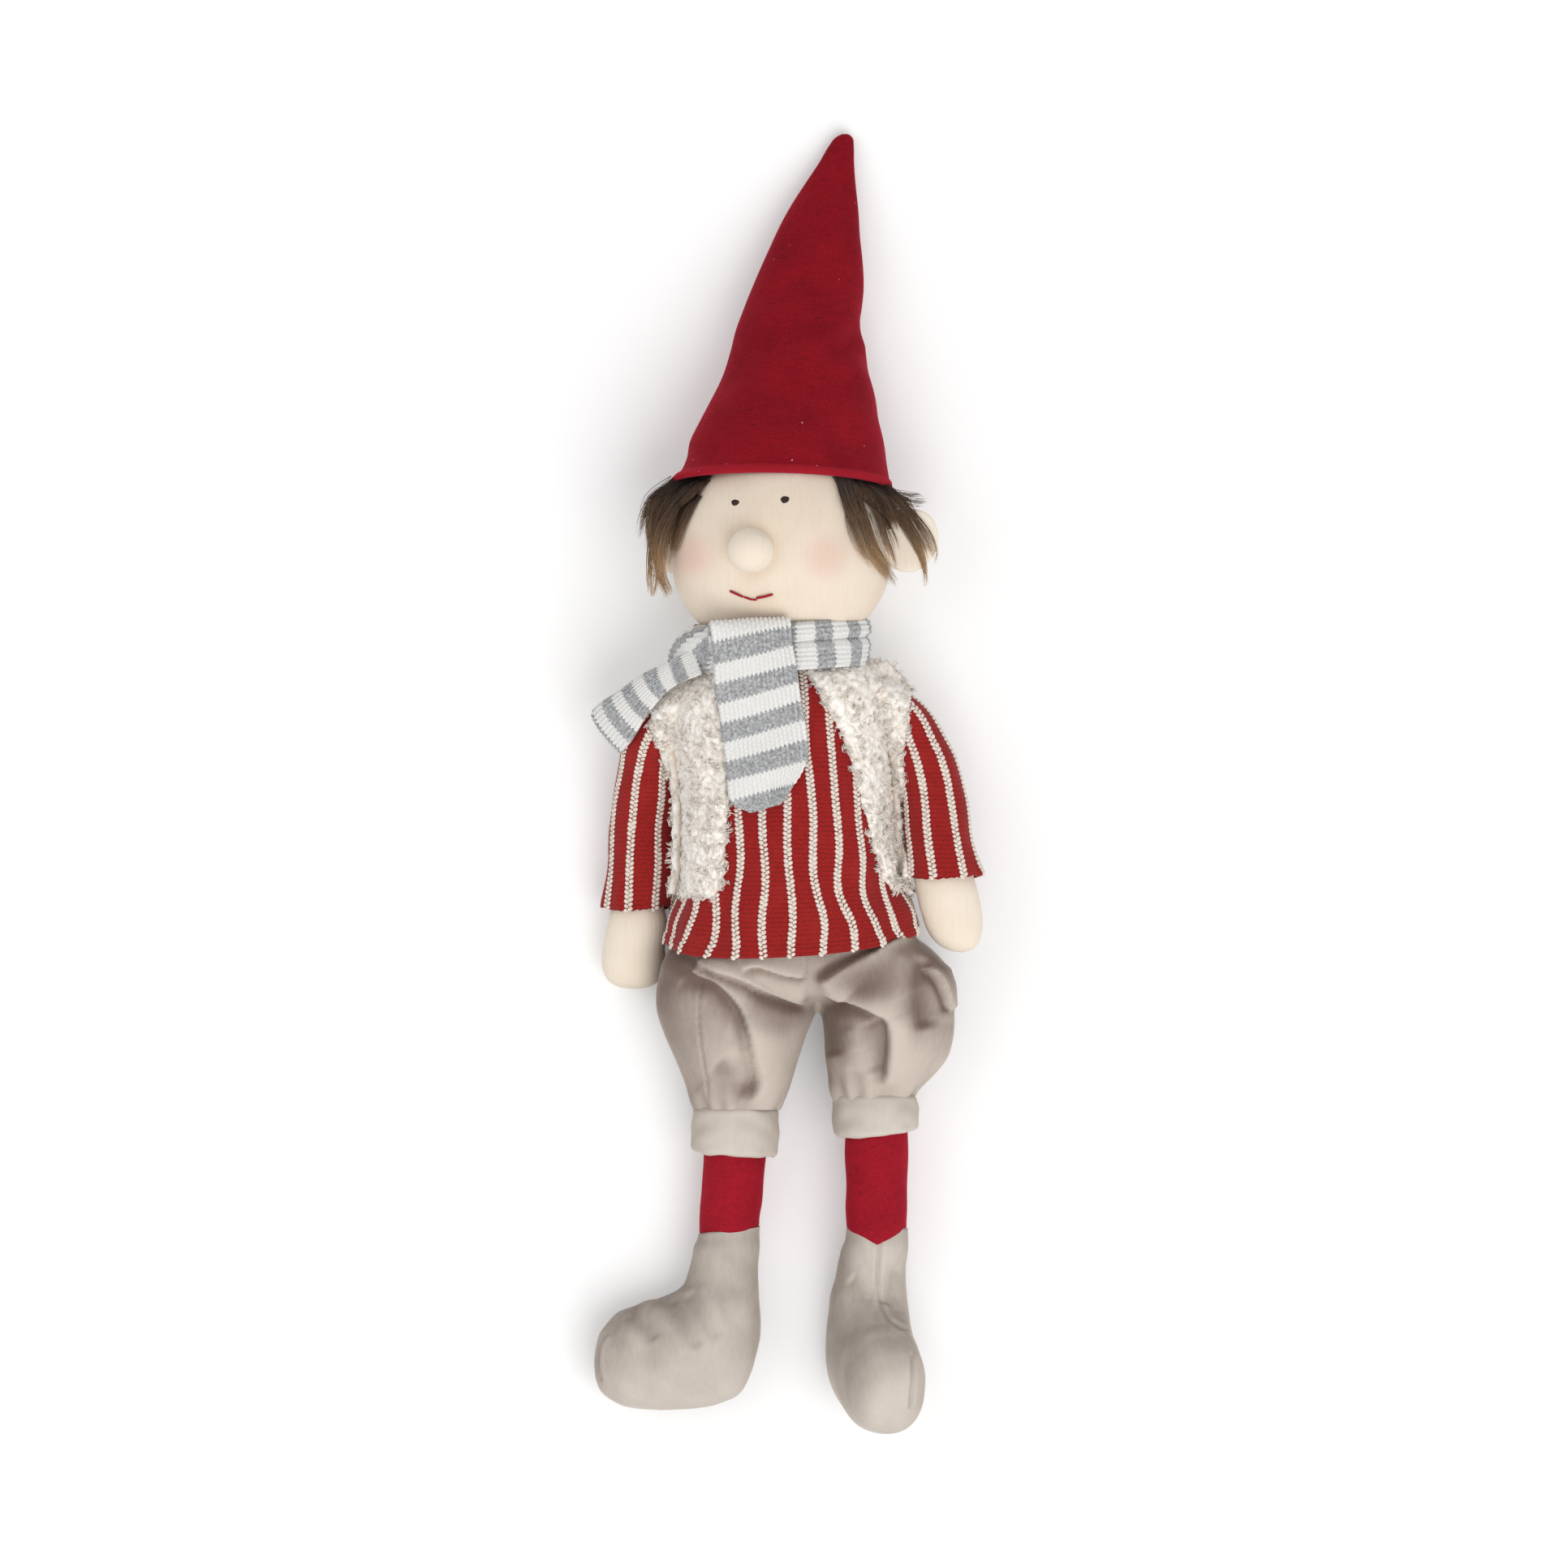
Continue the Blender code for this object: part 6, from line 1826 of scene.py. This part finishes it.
make_head(face_jersey)
make_nose(hand_jersey)
for side_name in ("left", "right"):
    make_ear(side_name, hand_jersey)
make_mouth(thread())
make_eyes(paint())
make_hat(felt_red)
make_hair(hair_under)
make_strands(hair_pile)
make_trunk(hand_jersey)
for side_name in ("left", "right"):
    make_arm(side_name, hand_jersey)
make_sweater(red_knit, cream_yarn)
make_vest(vest_wool, curl_wool)
make_scarf(scarf_wool)
make_trousers(trouser_velvet)
for side_name in ("left", "right"):
    make_leg(side_name, stocking_red)
    make_cuff(side_name, cuff_velvet)
    make_boot(side_name, boot_velvet)


# Floor, light and camera

PHOTO_SIDE = 0.72134
CAMERA_HEIGHT = 10.0
PICTURE_PLANE = 0.040


def make_stage():
    shape = bmesh.new()
    bmesh.ops.create_grid(shape, x_segments=1, y_segments=1, size=8.0)
    bmesh.ops.translate(shape, vec=(0.0, 0.0, -0.0002), verts=shape.verts)
    mesh = bpy.data.meshes.new("floor")
    shape.to_mesh(mesh)
    shape.free()
    ground = Finish("floor_white", Specular_IOR_Level=0.0, Roughness=1.0)
    seen = ground.node("ShaderNodeLightPath", output="Is Camera Ray")
    glow = ground.mix(seen, (0.0, 0.0, 0.0, 1.0), (1.0, 1.0, 1.0, 1.0))
    floor = add_object("floor", mesh, ground.set(Base_Color=colour(240, 240, 240), Emission_Color=glow,
                                                 Emission_Strength=0.16))


def add_light(name, at, size, power):
    lamp = bpy.data.lights.new(name, 'AREA')
    lamp.size = size
    lamp.energy = power
    light = bpy.data.objects.new(name, lamp)
    light.location = at
    light.rotation_euler = (-Vector(at)).to_track_quat('-Z', 'Y').to_euler()
    bpy.context.scene.collection.objects.link(light)


def make_light():
    add_light("key", (0.8, -1.2, 2.3), 2.2, 41.0)
    add_light("fill", (-1.4, 0.5, 1.8), 2.0, 10.0)
    world = bpy.data.worlds.new("studio")
    world.use_nodes = True
    bpy.context.scene.world = world
    nodes, links = world.node_tree.nodes, world.node_tree.links
    sky = nodes["Background"]
    sky.inputs["Color"].default_value = (1.0, 1.0, 1.0, 1.0)
    ray = nodes.new("ShaderNodeLightPath")
    strength = nodes.new("ShaderNodeMapRange")
    strength.inputs["To Min"].default_value = 0.57
    strength.inputs["To Max"].default_value = 1.0
    links.new(ray.outputs["Is Camera Ray"], strength.inputs["Value"])
    links.new(strength.outputs["Result"], sky.inputs["Strength"])


def make_camera():
    lens = bpy.data.cameras.new("camera")
    lens.sensor_width = 36.0
    lens.lens = 36.0 * CAMERA_HEIGHT / PHOTO_SIDE
    lens.clip_end = 20.0
    camera = bpy.data.objects.new("camera", lens)
    camera.location = (0.0, 0.0, CAMERA_HEIGHT + PICTURE_PLANE)
    bpy.context.scene.collection.objects.link(camera)
    bpy.context.scene.camera = camera


make_stage()
make_light()
make_camera()
bpy.context.scene.view_settings.view_transform = 'Standard'
